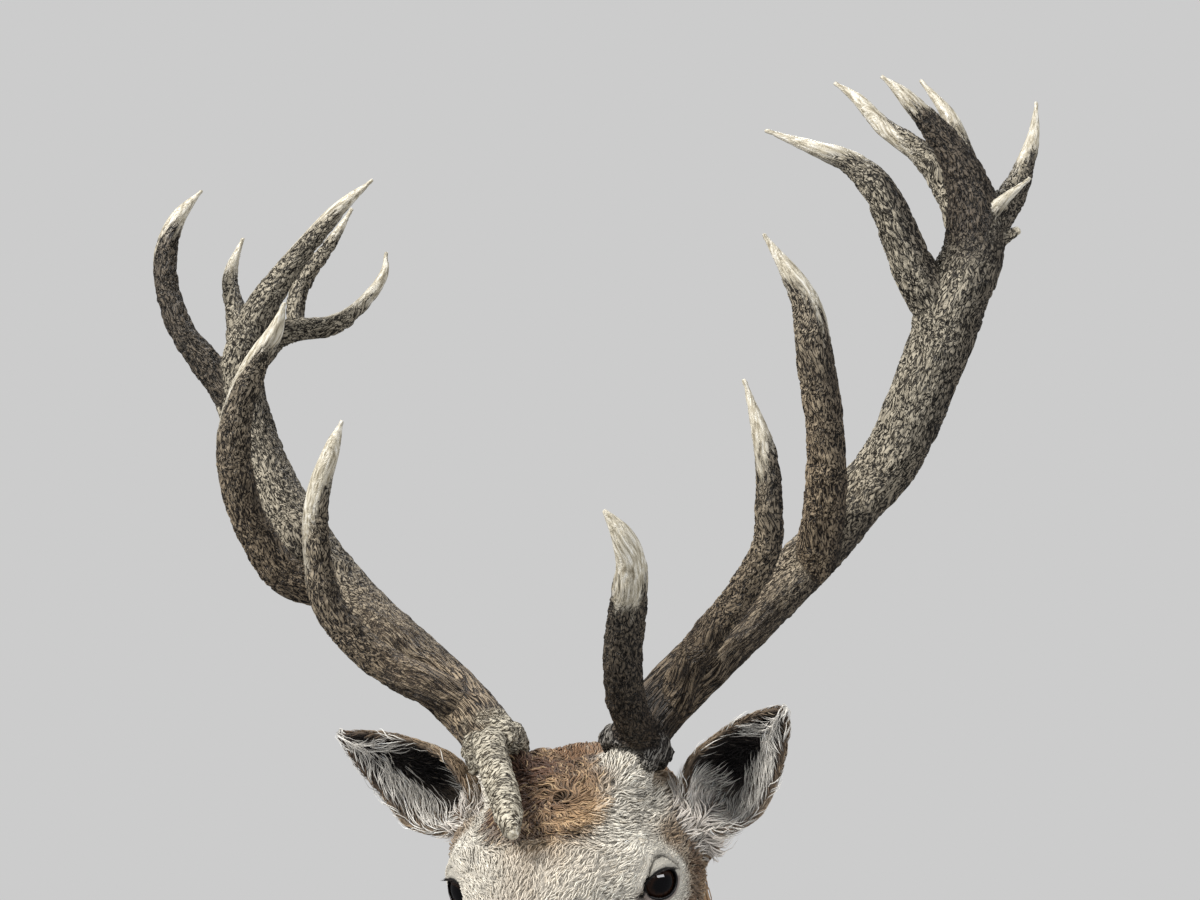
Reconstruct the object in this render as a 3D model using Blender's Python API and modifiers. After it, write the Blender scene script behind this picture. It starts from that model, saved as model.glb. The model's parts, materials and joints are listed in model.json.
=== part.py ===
"""A red deer stag's head mounted on a wooden wall board, at life size.

Metres, +Z up. The board's back lies in the plane y = 0, and the stag looks along -Y with its head turned to its
own right. Antlers and ears are given from the point between the eyes, as millimetres to the stag's left, back and
up. The head is lofted along its own face line, which slopes down from the poll to the nose.
"""

import math
import random

import bmesh
import bpy
import numpy as np
from mathutils import Matrix, Vector
from mathutils.bvhtree import BVHTree

MM = 0.001
GAP = 0.0003

# Driving sizes of the board
BOARD_WIDTH = 0.44
BOARD_HEIGHT = 0.60
BOARD_THICK = 0.026
BOARD_RAISED = 0.010
BOARD_CENTRE_Z = -0.06
BOARD_STEP_IN = 0.020
SHOULDER_DROP = 0.065
NOTCH_RADIUS = 0.032
SIDE_FULLNESS = 2.4
FOOT_POINT = 0.6

# Driving sizes of the pose
EYE_POINT = Vector((-0.05, -0.46, 0.30))
HEAD_TURN = math.radians(-18)
FACE_SLOPE = math.radians(30)

# Driving sizes of the head, along the face line from the point between the eyes
EYE_RADIUS = 0.018
EYE_CENTRE = Vector((0.066, 0.004, -0.004))
EYE_LOOKS = Vector((0.84, -0.52, 0.14)).normalized()
LID_THICK = 0.0032
EYE_OPENING = (0.0175, 0.0115)
NECK_CUT_TILT = 0.34
NECK_CUT_LEVEL = -0.04
PEDICLE_RADIUS = 0.019
MOUTH_GROOVE = 0.0017
SEAT_OVERLAP = 0.002

# Driving sizes of the neck
NECK_BASE_HALF = (0.148, 0.200)
NECK_BASE_Z = -0.045
NECK_RINGS = 11
NECK_SLIMNESS = 1.8
THROAT_FULLNESS = 0.060

# Driving sizes of the mane: places and lengths as shares of the neck's length from the board to the head
CORE_SHARE = 0.45
LOCK_ROWS = 6
LOCKS_AROUND = 8
LOCK_FIRST = 0.88
LOCK_LAST = 0.16
LOCK_SPREAD = math.radians(128)
LOCK_SHORT = 0.19
LOCK_LONG = 0.30
LOCK_WIDE = 0.064
LOCK_THICK = 0.013
LOCK_SINK = 0.012
# Along a lock: share of its length, of its width and of its thickness, and how far it has risen
LOCK_FORM = ((0.0, 0.70, 1.0, 0.0), (0.28, 1.0, 1.0, 0.55), (0.60, 0.82, 0.75, 0.86), (0.84, 0.42, 0.45, 0.97))

# Driving sizes of the ears
EAR_ROOT_RADIUS = 0.023
EAR_HALF_WIDTH = 0.034
EAR_START = 0.010
EAR_THICK = 0.0036

HEAD_SIDES = 30
EYE_RINGS = 9

# Face line sections: ahead of the eyes, top, underside, then half widths at temple, eye, cheek and jaw
FACE_SECTIONS = (
    (-132, 28, -112, 44, 64, 68, 48),
    (-105, 43, -122, 55, 80, 79, 53),
    (-80, 51, -127, 61, 91, 87, 55),
    (-50, 54, -126, 64, 93, 87, 53),
    (-22, 52, -120, 66, 88, 81, 48),
    (0, 49, -113, 64, 80, 73, 45),
    (22, 46, -105, 55, 69, 67, 42),
    (48, 42, -97, 43, 57, 60, 39),
    (78, 37, -89, 34, 47, 52, 35),
    (108, 32, -81, 29, 40, 45, 32),
    (140, 28, -75, 26, 36, 40, 30),
    (172, 24, -71, 25, 34, 38, 29),
    (200, 20, -69, 25, 36, 38, 29),
    (222, 14, -65, 24, 36, 36, 27),
    (238, 5, -55, 20, 31, 31, 22),
    (247, -8, -38, 13, 21, 21, 14),
    (252, -15, -31, 6, 10, 10, 7),
)
CROWN_FLAT = (0.62, 0.035)
HEIGHT_SHARES = (0.15, 0.34, 0.62, 0.90)

# Antlers: each limb's points as left, back, up and radius in millimetres, then how far along it the cut is
LEFT_BEAM = (
    (49, 50, 87, 20.5), (58, 60, 112, 20.5), (86, 77, 144, 21.3), (146, 95, 199, 20), (188, 102, 237, 19),
    (221, 105, 274, 20), (253, 102, 309, 21.5), (292, 88, 381, 22.5), (305, 80, 411, 24), (324, 78, 448, 22),
    (328, 72, 478, 18.5), (325, 65, 502, 15), (315, 56, 527, 11), (289, 42, 564, 6), (271, 36, 583, 1),
)
LEFT_CUTS = {"base": 0.130, "beam": 0.388, "crown": 0.532}
LEFT_TINES = (
    ("brow", "base", 0.038, (
        (57, 54, 106, 9), (60, 26, 110, 13), (67, -20, 132, 13.3), (80, -60, 162, 13), (98, -100, 194, 12),
        (107, -120, 215, 10), (107, -136, 233, 7.7), (98, -147, 251, 1.5))),
    ("bez", "base", 0.060, (
        (76, 66, 122, 13), (105, 42, 163, 12), (142, 25, 198, 11), (171, 2, 230, 10.3), (181, -20, 265, 9.2),
        (182, -32, 301, 7.2), (172, -40, 350, 1))),
    ("trez", "beam", 0.062, (
        (186, 98, 226, 15.5), (206, 55, 270, 14.9), (216, 20, 318, 13), (219, -15, 366, 12.6), (217, -33, 405, 9.5),
        (193, -45, 452, 1))),
    ("crown_front", "crown", 0.050, (
        (299, 82, 406, 17), (284, 60, 434, 15.5), (271, 32, 480, 12.3), (261, 22, 500, 10.8), (245, 15, 515, 8.2),
        (226, 8, 524, 5.8), (188, 0, 542, 1.2))),
    ("crown_inner", "crown", 0.064, (
        (320, 82, 455, 11), (307, 92, 503, 9.6), (288, 95, 537, 8.8), (261, 98, 562, 6.7), (242, 97, 587, 4.5),
        (224, 95, 603, 1))),
    ("crown_back", "crown", 0.062, (
        (318, 78, 462, 10), (323, 97, 510, 9), (317, 105, 542, 8), (309, 110, 569, 5.5), (289, 112, 601, 1))),
    ("crown_outer", "crown", 0.060, (
        (320, 80, 448, 14), (342, 94, 479, 12.5), (356, 106, 502, 9.7), (365, 113, 524, 7), (372, 118, 546, 4.5),
        (376, 120, 573, 1))),
)
LEFT_SPURS = (
    ("crown", ((325, 78, 458, 8), (347, 62, 479, 5), (374, 45, 493, 1))),
    ("crown", ((322, 80, 448, 8), (361, 75, 463, 3))),
)
RIGHT_BEAM = (
    (-56, 49, 84, 19.5), (-68, 53, 108, 20), (-102, 70, 139, 21), (-152, 86, 178, 22), (-203, 98, 222, 22),
    (-246, 104, 275, 20.5), (-279, 104, 330, 20), (-299, 97, 390, 20), (-294, 87, 426, 17.5), (-267, 68, 467, 13),
    (-228, 52, 500, 9), (-180, 38, 535, 6), (-143, 30, 555, 1),
)
RIGHT_CUTS = {"base": 0.150, "beam": 0.355, "crown": 0.492}
RIGHT_TINES = (
    ("brow", "base", 0.040, (
        (-62, 52, 106, 8), (-53, 18, 98, 11.5), (-38, -10, 80, 11.5), (-21, -38, 60, 10.5), (-11, -58, 47, 9),
        (-2, -74, 36, 4))),
    ("bez", "base", 0.062, (
        (-82, 64, 124, 12), (-109, 45, 145, 14), (-141, 34, 163, 13.5), (-164, 20, 185, 12.5),
        (-179, 4, 214, 11.5), (-180, -10, 250, 10.3), (-172, -25, 291, 8.8), (-154, -35, 327, 6),
        (-142, -40, 348, 1))),
    ("trez", "beam", 0.078, (
        (-214, 100, 231, 16), (-248, 72, 244, 15), (-262, 45, 278, 13.5), (-265, 22, 316, 13.3),
        (-259, 5, 350, 12.8), (-242, -10, 382, 11), (-222, -22, 406, 9), (-200, -34, 425, 6), (-186, -45, 444, 1))),
    ("crown_outer", "crown", 0.052, (
        (-296, 96, 382, 13), (-317, 82, 420, 13), (-339, 69, 455, 10.5), (-350, 62, 491, 9.6), (-351, 60, 525, 9),
        (-339, 60, 554, 6.5), (-316, 62, 577, 1))),
    ("crown_spur", "crown", 0.044, (
        (-297, 92, 425, 11), (-313, 110, 480, 8), (-321, 118, 515, 6), (-309, 120, 548, 1))),
    ("crown_inner", "crown", 0.053, (
        (-297, 92, 420, 12.5), (-266, 102, 453, 10), (-222, 108, 458, 8), (-195, 108, 470, 6),
        (-172, 108, 494, 4), (-167, 106, 516, 1))),
    ("crown_back", "crown_inner", 0.028, (
        (-253, 105, 457, 5.5), (-253, 109, 484, 7.8), (-242, 112, 508, 6.7), (-219, 112, 533, 4.7),
        (-200, 112, 559, 1))),
)
RIGHT_SPURS = ()
FACET_LOSS = 1.055
BURR_SPREAD = 1.08
BURR_THICK = 0.0065
BURR_LIFT = 0.0085
BEAM_STEP = 0.022
TINE_STEP = 0.020
BEAM_ROUNDNESS = 4
TINE_ROUNDNESS = 2

# Ears: root and tip
LEFT_EAR = ((90, 86, 39), (172, 30, 117))
RIGHT_EAR = ((-93, 86, 46), (-184, 32, 113))
EAR_FACES = Vector((0.25, -0.95, 0.0))

STAG = Matrix.Translation(EYE_POINT) @ Matrix.Rotation(HEAD_TURN, 4, "Z")
FACE = STAG @ Matrix.Rotation(FACE_SLOPE, 4, "X")


def clear_scene():
    for obj in list(bpy.data.objects):
        bpy.data.objects.remove(obj, do_unlink=True)


def new_collection(name, hidden=False):
    made = bpy.data.collections.new(name)
    made.hide_render = hidden
    bpy.context.scene.collection.children.link(made)
    return made


def paint(name, colour, roughness):
    material = bpy.data.materials.new(name)
    material.use_nodes = True
    shader = material.node_tree.nodes["Principled BSDF"]
    shader.inputs["Base Color"].default_value = (*colour, 1.0)
    shader.inputs["Roughness"].default_value = roughness
    shader.inputs["Metallic"].default_value = 0.0
    return material


def add_object(name, mesh, collection, place=None):
    obj = bpy.data.objects.new(name, mesh)
    collection.objects.link(obj)
    if place is not None:
        obj.parent = place
    return obj


def add_empty(name, matrix, collection):
    empty = bpy.data.objects.new(name, None)
    collection.objects.link(empty)
    empty.matrix_world = matrix
    return empty


def mesh_from(bm, name):
    mesh = bpy.data.meshes.new(name)
    bmesh.ops.recalc_face_normals(bm, faces=bm.faces)
    bm.to_mesh(mesh)
    bm.free()
    return mesh


def applied(obj):
    """Replaces the object's mesh by what its modifiers make of it."""
    bpy.context.view_layer.update()
    graph = bpy.context.evaluated_depsgraph_get()
    mesh = bpy.data.meshes.new_from_object(obj.evaluated_get(graph))
    obj.modifiers.clear()
    obj.data = mesh
    return obj


def keep_largest(obj):
    """Drops all but the largest closed surface of the object's mesh."""
    bm = bmesh.new()
    bm.from_mesh(obj.data)
    bmesh.ops.remove_doubles(bm, verts=bm.verts, dist=GAP * 0.03)
    left = set(bm.faces)
    surfaces = []
    while left:
        found = {left.pop()}
        edge_of = list(found)
        while edge_of:
            face = edge_of.pop()
            for edge in face.edges:
                if len(edge.link_faces) != 2:
                    continue
                for other in edge.link_faces:
                    if other in left:
                        left.discard(other)
                        found.add(other)
                        edge_of.append(other)
        surfaces.append(found)
    surfaces.sort(key=len)
    for surface in surfaces[:-1]:
        bmesh.ops.delete(bm, geom=list(surface), context="FACES")
    loose = [vert for vert in bm.verts if not vert.link_faces]
    bmesh.ops.delete(bm, geom=loose, context="VERTS")
    bm.to_mesh(obj.data)
    bm.free()
    return obj


def boolean(obj, pieces, operation, solver="EXACT"):
    """One Boolean with all the pieces, which are then removed."""
    gathered = new_collection(obj.name + "_pieces")
    for piece in pieces:
        for holder in list(piece.users_collection):
            holder.objects.unlink(piece)
        gathered.objects.link(piece)
    modifier = obj.modifiers.new(operation.lower(), "BOOLEAN")
    modifier.operation = operation
    modifier.operand_type = "COLLECTION"
    modifier.collection = gathered
    modifier.solver = solver
    applied(obj)
    for piece in pieces:
        bpy.data.objects.remove(piece, do_unlink=True)
    bpy.data.collections.remove(gathered)
    return keep_largest(obj)


def smooth_line(points, step):
    """A Catmull-Rom curve through rows of numbers, read off about every step along its first three columns."""
    rows = np.array(points, float)
    rows = np.vstack([2 * rows[0] - rows[1], rows, 2 * rows[-1] - rows[-2]])
    fine = []
    for i in range(1, len(rows) - 2):
        a, b, c, d = rows[i - 1 : i + 3]
        for t in np.linspace(0, 1, 24, endpoint=False):
            fine.append(0.5 * (2 * b + (c - a) * t + (2 * a - 5 * b + 4 * c - d) * t**2
                               + (3 * b - a - 3 * c + d) * t**3))
    fine = np.array(fine + [rows[-2]])
    travel = np.concatenate([[0], np.cumsum(np.linalg.norm(np.diff(fine[:, :3], axis=0), axis=1))])
    count = max(3, round(travel[-1] / step) + 1)
    wanted = np.linspace(0, travel[-1], count)
    return np.stack([np.interp(wanted, travel, fine[:, k]) for k in range(fine.shape[1])], 1)


def limb_line(points):
    """A limb's centre line and radius, as metres, every few millimetres, made up for what its facets lose."""
    return smooth_line(np.array(points, float) * MM * (1, 1, 1, FACET_LOSS), 2 * MM)


def travel_of(line):
    return np.concatenate([[0], np.cumsum(np.linalg.norm(np.diff(line[:, :3], axis=0), axis=1))])


def stretch(line, start, end, step):
    """The line from start to end, with short straight ends so that both its end faces are square to it."""
    travel = travel_of(line)
    start = max(start, 0.0)
    end = min(end, travel[-1])
    lead = 1.5 * MM
    inner = np.linspace(start + lead, end - lead, max(2, round((end - start) / step)))
    places = np.concatenate([[start], inner, [end]])
    found = np.stack([np.interp(places, travel, line[:, k]) for k in range(4)], 1)
    for at, neighbour in ((0, 1), (-1, -2)):
        here = found[at, :3]
        ahead = tangent_at(line, places[at])
        side = np.sign(np.dot(found[neighbour, :3] - here, ahead))
        found[neighbour, :3] = here + side * lead * ahead
    return found


def tangent_at(line, place):
    travel = travel_of(line)
    reach = 2 * MM
    ends = [np.array([np.interp(place + shift, travel, line[:, k]) for k in range(3)]) for shift in (-reach, reach)]
    return (ends[1] - ends[0]) / np.linalg.norm(ends[1] - ends[0])


def tube(name, rows, roundness, collection, place):
    """A closed tube along rows of x, y, z and radius, as a mesh."""
    curve = bpy.data.curves.new(name, "CURVE")
    curve.dimensions = "3D"
    curve.twist_mode = "MINIMUM"
    curve.bevel_depth = MM
    curve.bevel_resolution = roundness
    curve.use_fill_caps = True
    spline = curve.splines.new("POLY")
    spline.points.add(len(rows) - 1)
    for point, row in zip(spline.points, rows):
        point.co = (*row[:3], 1.0)
        point.radius = row[3] / MM
    source = add_object(name + "_curve", curve, collection)
    bpy.context.view_layer.update()
    graph = bpy.context.evaluated_depsgraph_get()
    mesh = bpy.data.meshes.new_from_object(source.evaluated_get(graph))
    bpy.data.objects.remove(source, do_unlink=True)
    bm = bmesh.new()
    bm.from_mesh(mesh)
    bmesh.ops.remove_doubles(bm, verts=bm.verts, dist=GAP * 0.1)
    bmesh.ops.recalc_face_normals(bm, faces=bm.faces)
    bm.to_mesh(mesh)
    bm.free()
    return add_object(name, mesh, collection, place)


def burr(name, line, collection, place):
    """The rugged ring round an antler's foot."""
    bpy.ops.mesh.primitive_torus_add(major_segments=20, minor_segments=6, major_radius=line[0, 3] * BURR_SPREAD,
                                     minor_radius=BURR_THICK)
    ring = bpy.context.object
    ring.name = name
    draw = random.Random(name)
    for vert in ring.data.vertices:
        vert.co *= 1 + draw.uniform(-0.05, 0.08)
    up = Vector(tangent_at(line, BURR_LIFT))
    foot = Vector(line[0, :3]) + up * BURR_LIFT
    turn = Vector((0, 0, 1)).rotation_difference(up).to_matrix().to_4x4()
    ring.data.transform(Matrix.Translation(foot) @ turn)
    for holder in list(ring.users_collection):
        holder.objects.unlink(ring)
    collection.objects.link(ring)
    ring.parent = place
    return ring


def antler(side, beam_points, cuts, tines, spurs, collection, place):
    """One antler, parted at its main forks: its lower beam, upper beam, crown and tines."""
    beam = limb_line(beam_points)
    whole = travel_of(beam)[-1]
    edges = {"base": (0.0, cuts["base"]), "beam": (cuts["base"], cuts["beam"]),
             "crown": (cuts["beam"], cuts["crown"]), "crown_main": (cuts["crown"], whole)}
    made = {}
    pieces = {}
    for name, (start, end) in edges.items():
        foot = start + (GAP if start else 0.0)
        rows = stretch(beam, foot, end, BEAM_STEP)
        made[name] = tube(f"antler_{side}_{name}", rows, BEAM_ROUNDNESS, collection, place)
        pieces[name] = []
    for name, grows_from, cut, points in tines:
        line = limb_line(points)
        rows = stretch(line, cut + GAP, travel_of(line)[-1], TINE_STEP)
        made[name] = tube(f"antler_{side}_{name}", rows, TINE_ROUNDNESS, collection, place)
        pieces[name] = []
        stub = stretch(line, 0.0, cut, TINE_STEP)
        pieces[grows_from].append(tube(f"{side}_{name}_stub", stub, TINE_ROUNDNESS, collection, place))
    for count, (grows_from, points) in enumerate(spurs):
        rows = stretch(limb_line(points), 0.0, whole, TINE_STEP)
        pieces[grows_from].append(tube(f"{side}_spur_{count}", rows, TINE_ROUNDNESS, collection, place))
    pieces["base"].append(burr(f"{side}_burr", beam, collection, place))
    for name, obj in made.items():
        if pieces[name]:
            boolean(obj, pieces[name], "UNION")
    return list(made.values()), beam


def section_at(ahead):
    """The head's section numbers at a place along the face line, in metres."""
    table = np.array(FACE_SECTIONS, float) * MM
    stations = table[:, 0]
    i = int(np.clip(np.searchsorted(stations, ahead) - 1, 0, len(stations) - 2))
    before = table[max(i - 1, 0)]
    after = table[min(i + 2, len(table) - 1)]
    low, high = table[i], table[i + 1]
    span = high[0] - low[0]
    t = (ahead - low[0]) / span
    slope_low = (high - before) / (high[0] - before[0]) * span
    slope_high = (after - low) / (after[0] - low[0]) * span
    return ((2 * t**3 - 3 * t**2 + 1) * low + (t**3 - 2 * t**2 + t) * slope_low
            + (-2 * t**3 + 3 * t**2) * high + (t**3 - t**2) * slope_high)


def head_ring(ahead, sides):
    """The head's outline at a place along the face line, as x and z, from its top round by its left side."""
    _, top, under, *widths = section_at(ahead)
    flat, drop = CROWN_FLAT
    side = [(widths[0] * flat, top + (under - top) * drop)]
    side += [(width, top + (under - top) * share) for width, share in zip(widths, HEIGHT_SHARES)]
    loop = [(0, top)] + side + [(0, under)] + [(-x, z) for x, z in reversed(side)]
    loop = np.array(loop)
    closed = np.vstack([loop[-1:], loop, loop[:2]])
    fine = []
    for i in range(1, len(closed) - 2):
        a, b, c, d = closed[i - 1 : i + 3]
        for t in np.linspace(0, 1, 16, endpoint=False):
            fine.append(0.5 * (2 * b + (c - a) * t + (2 * a - 5 * b + 4 * c - d) * t**2
                               + (3 * b - a - 3 * c + d) * t**3))
    fine = np.array(fine + [fine[0]])
    travel = np.concatenate([[0], np.cumsum(np.linalg.norm(np.diff(fine, axis=0), axis=1))])
    wanted = np.linspace(0, travel[-1], sides, endpoint=False)
    return np.stack([np.interp(wanted, travel, fine[:, k]) for k in range(2)], 1)


def cut_shift(ahead, height):
    """How far ahead of its station a point of the head's back lies, as the sections tilt towards the neck's cut."""
    back = FACE_SECTIONS[0][0] * MM
    share = np.clip(ahead / back, 0, 1) ** 1.5
    return NECK_CUT_TILT * share * (NECK_CUT_LEVEL - height)


def head_stations():
    """Places along the face line, closer together round the eyes and the nose."""
    back, front = FACE_SECTIONS[0][0] * MM, FACE_SECTIONS[-1][0] * MM
    places = [back]
    while places[-1] < front:
        here = places[-1]
        near_eye = math.exp(-((here - 0.0) / 0.045) ** 2)
        near_nose = math.exp(-((here - 0.235) / 0.035) ** 2)
        places.append(here + 0.0175 - 0.0080 * near_eye - 0.0105 * near_nose)
    places[-1] = front
    return places


def swell(bm, centre, reach, push):
    """Moves the surface round a place by push, and round its mirror image likewise."""
    for vert in bm.verts:
        for side in (1, -1):
            middle = Vector((centre[0] * side, centre[1], centre[2]))
            away = [(vert.co[k] - middle[k]) / reach[k] for k in range(3)]
            share = math.exp(-sum(value * value for value in away))
            if share > 0.02 and (centre[0] or side == 1):
                vert.co += Vector((push[0] * side, push[1], push[2])) * share


def head_form(sides):
    """The head without its lids, ear roots and openings, in the face's frame."""
    bm = bmesh.new()
    rings = []
    for ahead in head_stations():
        ring = head_ring(ahead, sides)
        rings.append([bm.verts.new((x, -(ahead + cut_shift(ahead, z)), z)) for x, z in ring])
    for low, high in zip(rings, rings[1:]):
        for k in range(sides):
            bm.faces.new((low[k], low[(k + 1) % sides], high[(k + 1) % sides], high[k]))
    bm.faces.new(rings[0])
    bm.faces.new(rings[-1])
    bmesh.ops.recalc_face_normals(bm, faces=bm.faces)
    body = [vert for ring in rings[1:] for vert in ring]
    first_ring = {vert: vert.co.copy() for vert in rings[0]}
    # Socket round each eye, brow over it, hollow before it, cheekbone below it, jaw muscle, nostril wings and chin
    swell(bm, (0.077, 0.006, -0.004), (0.040, 0.032, 0.026), (0.0055, 0.0, 0.0))
    swell(bm, (0.062, 0.000, 0.023), (0.020, 0.024, 0.014), (0.007, -0.001, 0.004))
    swell(bm, (0.056, -0.042, -0.003), (0.018, 0.020, 0.012), (-0.005, 0.0, 0.0))
    swell(bm, (0.070, -0.012, -0.031), (0.020, 0.045, 0.010), (0.004, 0.0, 0.0))
    swell(bm, (0.068, 0.055, -0.070), (0.030, 0.035, 0.035), (0.005, 0.0, -0.002))
    swell(bm, (0.030, -0.222, -0.004), (0.014, 0.016, 0.012), (0.004, -0.002, 0.001))
    swell(bm, (0.0, -0.205, -0.066), (0.020, 0.022, 0.012), (0.0, -0.004, -0.004))
    for vert, place in first_ring.items():
        vert.co = place
    bmesh.ops.smooth_vert(bm, verts=body, factor=0.3, use_axis_x=True, use_axis_y=True, use_axis_z=True)
    return bm


def eye_frame(side, depth=0.0):
    """A frame at one eye: +Z looks out, +X runs back along the lids."""
    centre = Vector((EYE_CENTRE.x * side, EYE_CENTRE.y, EYE_CENTRE.z))
    out = Vector((EYE_LOOKS.x * side, EYE_LOOKS.y, EYE_LOOKS.z))
    back = Vector((0.0, 1.0, 0.22))
    back = (back - out * back.dot(out)).normalized()
    up = out.cross(back)
    frame = Matrix((back, up, out)).transposed().to_4x4()
    return Matrix.Translation(centre + out * depth) @ frame


def ball(name, radius, rings, matrix, collection, place):
    bm = bmesh.new()
    bmesh.ops.create_uvsphere(bm, u_segments=2 * rings, v_segments=rings, radius=radius, matrix=matrix)
    return add_object(name, mesh_from(bm, name), collection, place)


def lid_opening(name, side, collection, place):
    """The almond between one eye's lids, as a cutter through them."""
    half_long, half_high = EYE_OPENING
    bm = bmesh.new()
    count = 20
    loops = []
    for depth, spread in ((0.004, 0.80), (0.032, 1.25)):
        loop = []
        for k in range(count):
            angle = 2 * math.pi * k / count
            along = math.cos(angle)
            high = math.sin(angle) * abs(math.sin(angle)) ** 0.25
            if high < 0:
                high *= 0.85
            high -= 0.10 * along
            spot = Vector((along * half_long * spread, side * high * half_high * spread, depth))
            loop.append(bm.verts.new(eye_frame(side) @ spot))
        loops.append(loop)
    for k in range(count):
        bm.faces.new((loops[0][k], loops[0][(k + 1) % count], loops[1][(k + 1) % count], loops[1][k]))
    bm.faces.new(loops[0])
    bm.faces.new(loops[1])
    return add_object(name, mesh_from(bm, name), collection, place)


def on_surface(tree, side, back, height):
    """The head's surface point straight out to one side of a place on its middle plane."""
    start = Vector((0.2 * side, back, height))
    found = tree.ray_cast(start, Vector((-side, 0, 0)))[0]
    return found if found is not None else Vector((0.0, back, height))


def mouth_line(bm):
    """Points of the mouth from one corner round the front of the lips to the other, on the head's surface."""
    tree = BVHTree.FromBMesh(bm)
    front = tree.ray_cast(Vector((0, -0.4, -0.040)), Vector((0, 1, 0)))[0]
    sides = {1: [], -1: []}
    for side, line in sides.items():
        for share in np.linspace(0.06, 1.0, 10):
            back = front.y + 0.086 * share
            height = -0.040 - 0.009 * math.sin(math.pi * min(share * 1.25, 1.0)) - 0.004 * share
            line.append(on_surface(tree, side, back, height))
    return sides[1][::-1] + [front] + sides[-1]


def head(collection, cutters, place):
    """The head with its lids, nostrils, mouth, antler feet and ear roots, cut square for the neck."""
    bm = head_form(HEAD_SIDES)
    mouth = [(*point, MOUTH_GROOVE) for point in mouth_line(bm)]
    obj = add_object("head", mesh_from(bm, "head"), collection, place)
    added = []
    removed = []
    for side, beam, ear_ends in ((1, LEFT_BEAM, LEFT_EAR), (-1, RIGHT_BEAM, RIGHT_EAR)):
        name = "left" if side > 0 else "right"
        added.append(ball(f"{name}_lids", EYE_RADIUS + GAP + LID_THICK, EYE_RINGS, eye_frame(side), cutters, place))
        removed.append(ball(f"{name}_socket", EYE_RADIUS + GAP, EYE_RINGS, eye_frame(side), cutters, place))
        removed.append(lid_opening(f"{name}_opening", side, cutters, place))
        added.append(pedicle(name, beam, cutters, place))
        removed.append(antler_seat(name, beam, cutters, place))
        added.append(ear_root(f"{name}_ear_root", ear_ends, -0.040, SEAT_OVERLAP, 1.0, cutters, place))
        removed.append(ear_root(f"{name}_ear_seat", ear_ends, -GAP, 0.018, 1.15, cutters, place))
        removed.append(nostril(f"{name}_nostril", side, cutters, place))
        removed.append(tear_pit(f"{name}_tear_pit", side, cutters, place))
    removed.append(tube("mouth_groove", mouth, 1, cutters, place))
    boolean(obj, added, "UNION")
    boolean(obj, removed, "DIFFERENCE")
    return obj


def to_face(point):
    """A point given in millimetres from between the eyes, turned into the face's frame."""
    return Matrix.Rotation(-FACE_SLOPE, 4, "X") @ (Vector(point[:3]) * MM)


def beam_foot(beam):
    """An antler's foot and its direction, in the face's frame."""
    up = (Matrix.Rotation(-FACE_SLOPE, 4, "X") @ Vector(tangent_at(limb_line(beam), 0.0))).normalized()
    return to_face(beam[0]), up


def pedicle(name, beam, collection, place):
    """The skin-covered foot that an antler grows from, a little too tall for its seat to cut."""
    foot, up = beam_foot(beam)
    rows = [(*(foot - up * 0.045), PEDICLE_RADIUS * 1.25), (*(foot - up * 0.020), PEDICLE_RADIUS * 1.12),
            (*(foot + up * SEAT_OVERLAP), PEDICLE_RADIUS)]
    return tube(f"{name}_pedicle", rows, 3, collection, place)


def antler_seat(name, beam, collection, place):
    """What the antler and its burr need free, as a cutter that ends a gap below the antler's foot."""
    foot, up = beam_foot(beam)
    radius = beam[0][3] * MM * FACET_LOSS * BURR_SPREAD + BURR_THICK * 1.5
    rows = [(*(foot - up * GAP), radius), (*(foot + up * 0.024), radius)]
    return tube(f"{name}_antler_seat", rows, 4, collection, place)


def ear_axes(ends):
    """An ear's root, length and its directions along, across and out of the cup, from between the eyes."""
    root, tip = (Vector(end) * MM for end in ends)
    along = (tip - root).normalized()
    faces = Vector((EAR_FACES.x * (1 if root.x > 0 else -1), EAR_FACES.y, EAR_FACES.z))
    faces = (faces - along * faces.dot(along)).normalized()
    return root, (tip - root).length, along, along.cross(faces), faces


def ear_root(name, ends, start, end, spread, collection, place):
    """The ear's fleshy root between two places along the ear, in the face's frame."""
    root, _, along, _, _ = ear_axes(ends)
    turn = Matrix.Rotation(-FACE_SLOPE, 4, "X")
    middle = start + (end - start) * 0.5
    rows = [(*(turn @ (root + along * at)), radius * spread)
            for at, radius in ((start, EAR_ROOT_RADIUS * 1.12), (middle, EAR_ROOT_RADIUS * 1.06),
                               (end, EAR_ROOT_RADIUS))]
    return tube(name, rows, 3, collection, place)


def nostril(name, side, collection, place):
    """A comma-shaped hollow: a slit along the side of the nose that widens and turns in at its front."""
    rows = ((0.0375 * side, -0.222, 0.007, 0.0026), (0.0330 * side, -0.233, 0.006, 0.0054),
            (0.0240 * side, -0.240, -0.001, 0.0068), (0.0180 * side, -0.231, -0.006, 0.0048),
            (0.0150 * side, -0.220, -0.008, 0.0030))
    return tube(name, rows, 2, collection, place)


def tear_pit(name, side, collection, place):
    """The slit of the scent gland before the eye's inner corner."""
    rows = ((0.0635 * side, -0.024, -0.009, 0.0016), (0.0600 * side, -0.033, -0.014, 0.0030),
            (0.0565 * side, -0.043, -0.018, 0.0026), (0.0540 * side, -0.051, -0.021, 0.0012))
    return tube(name, rows, 1, collection, place)


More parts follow.
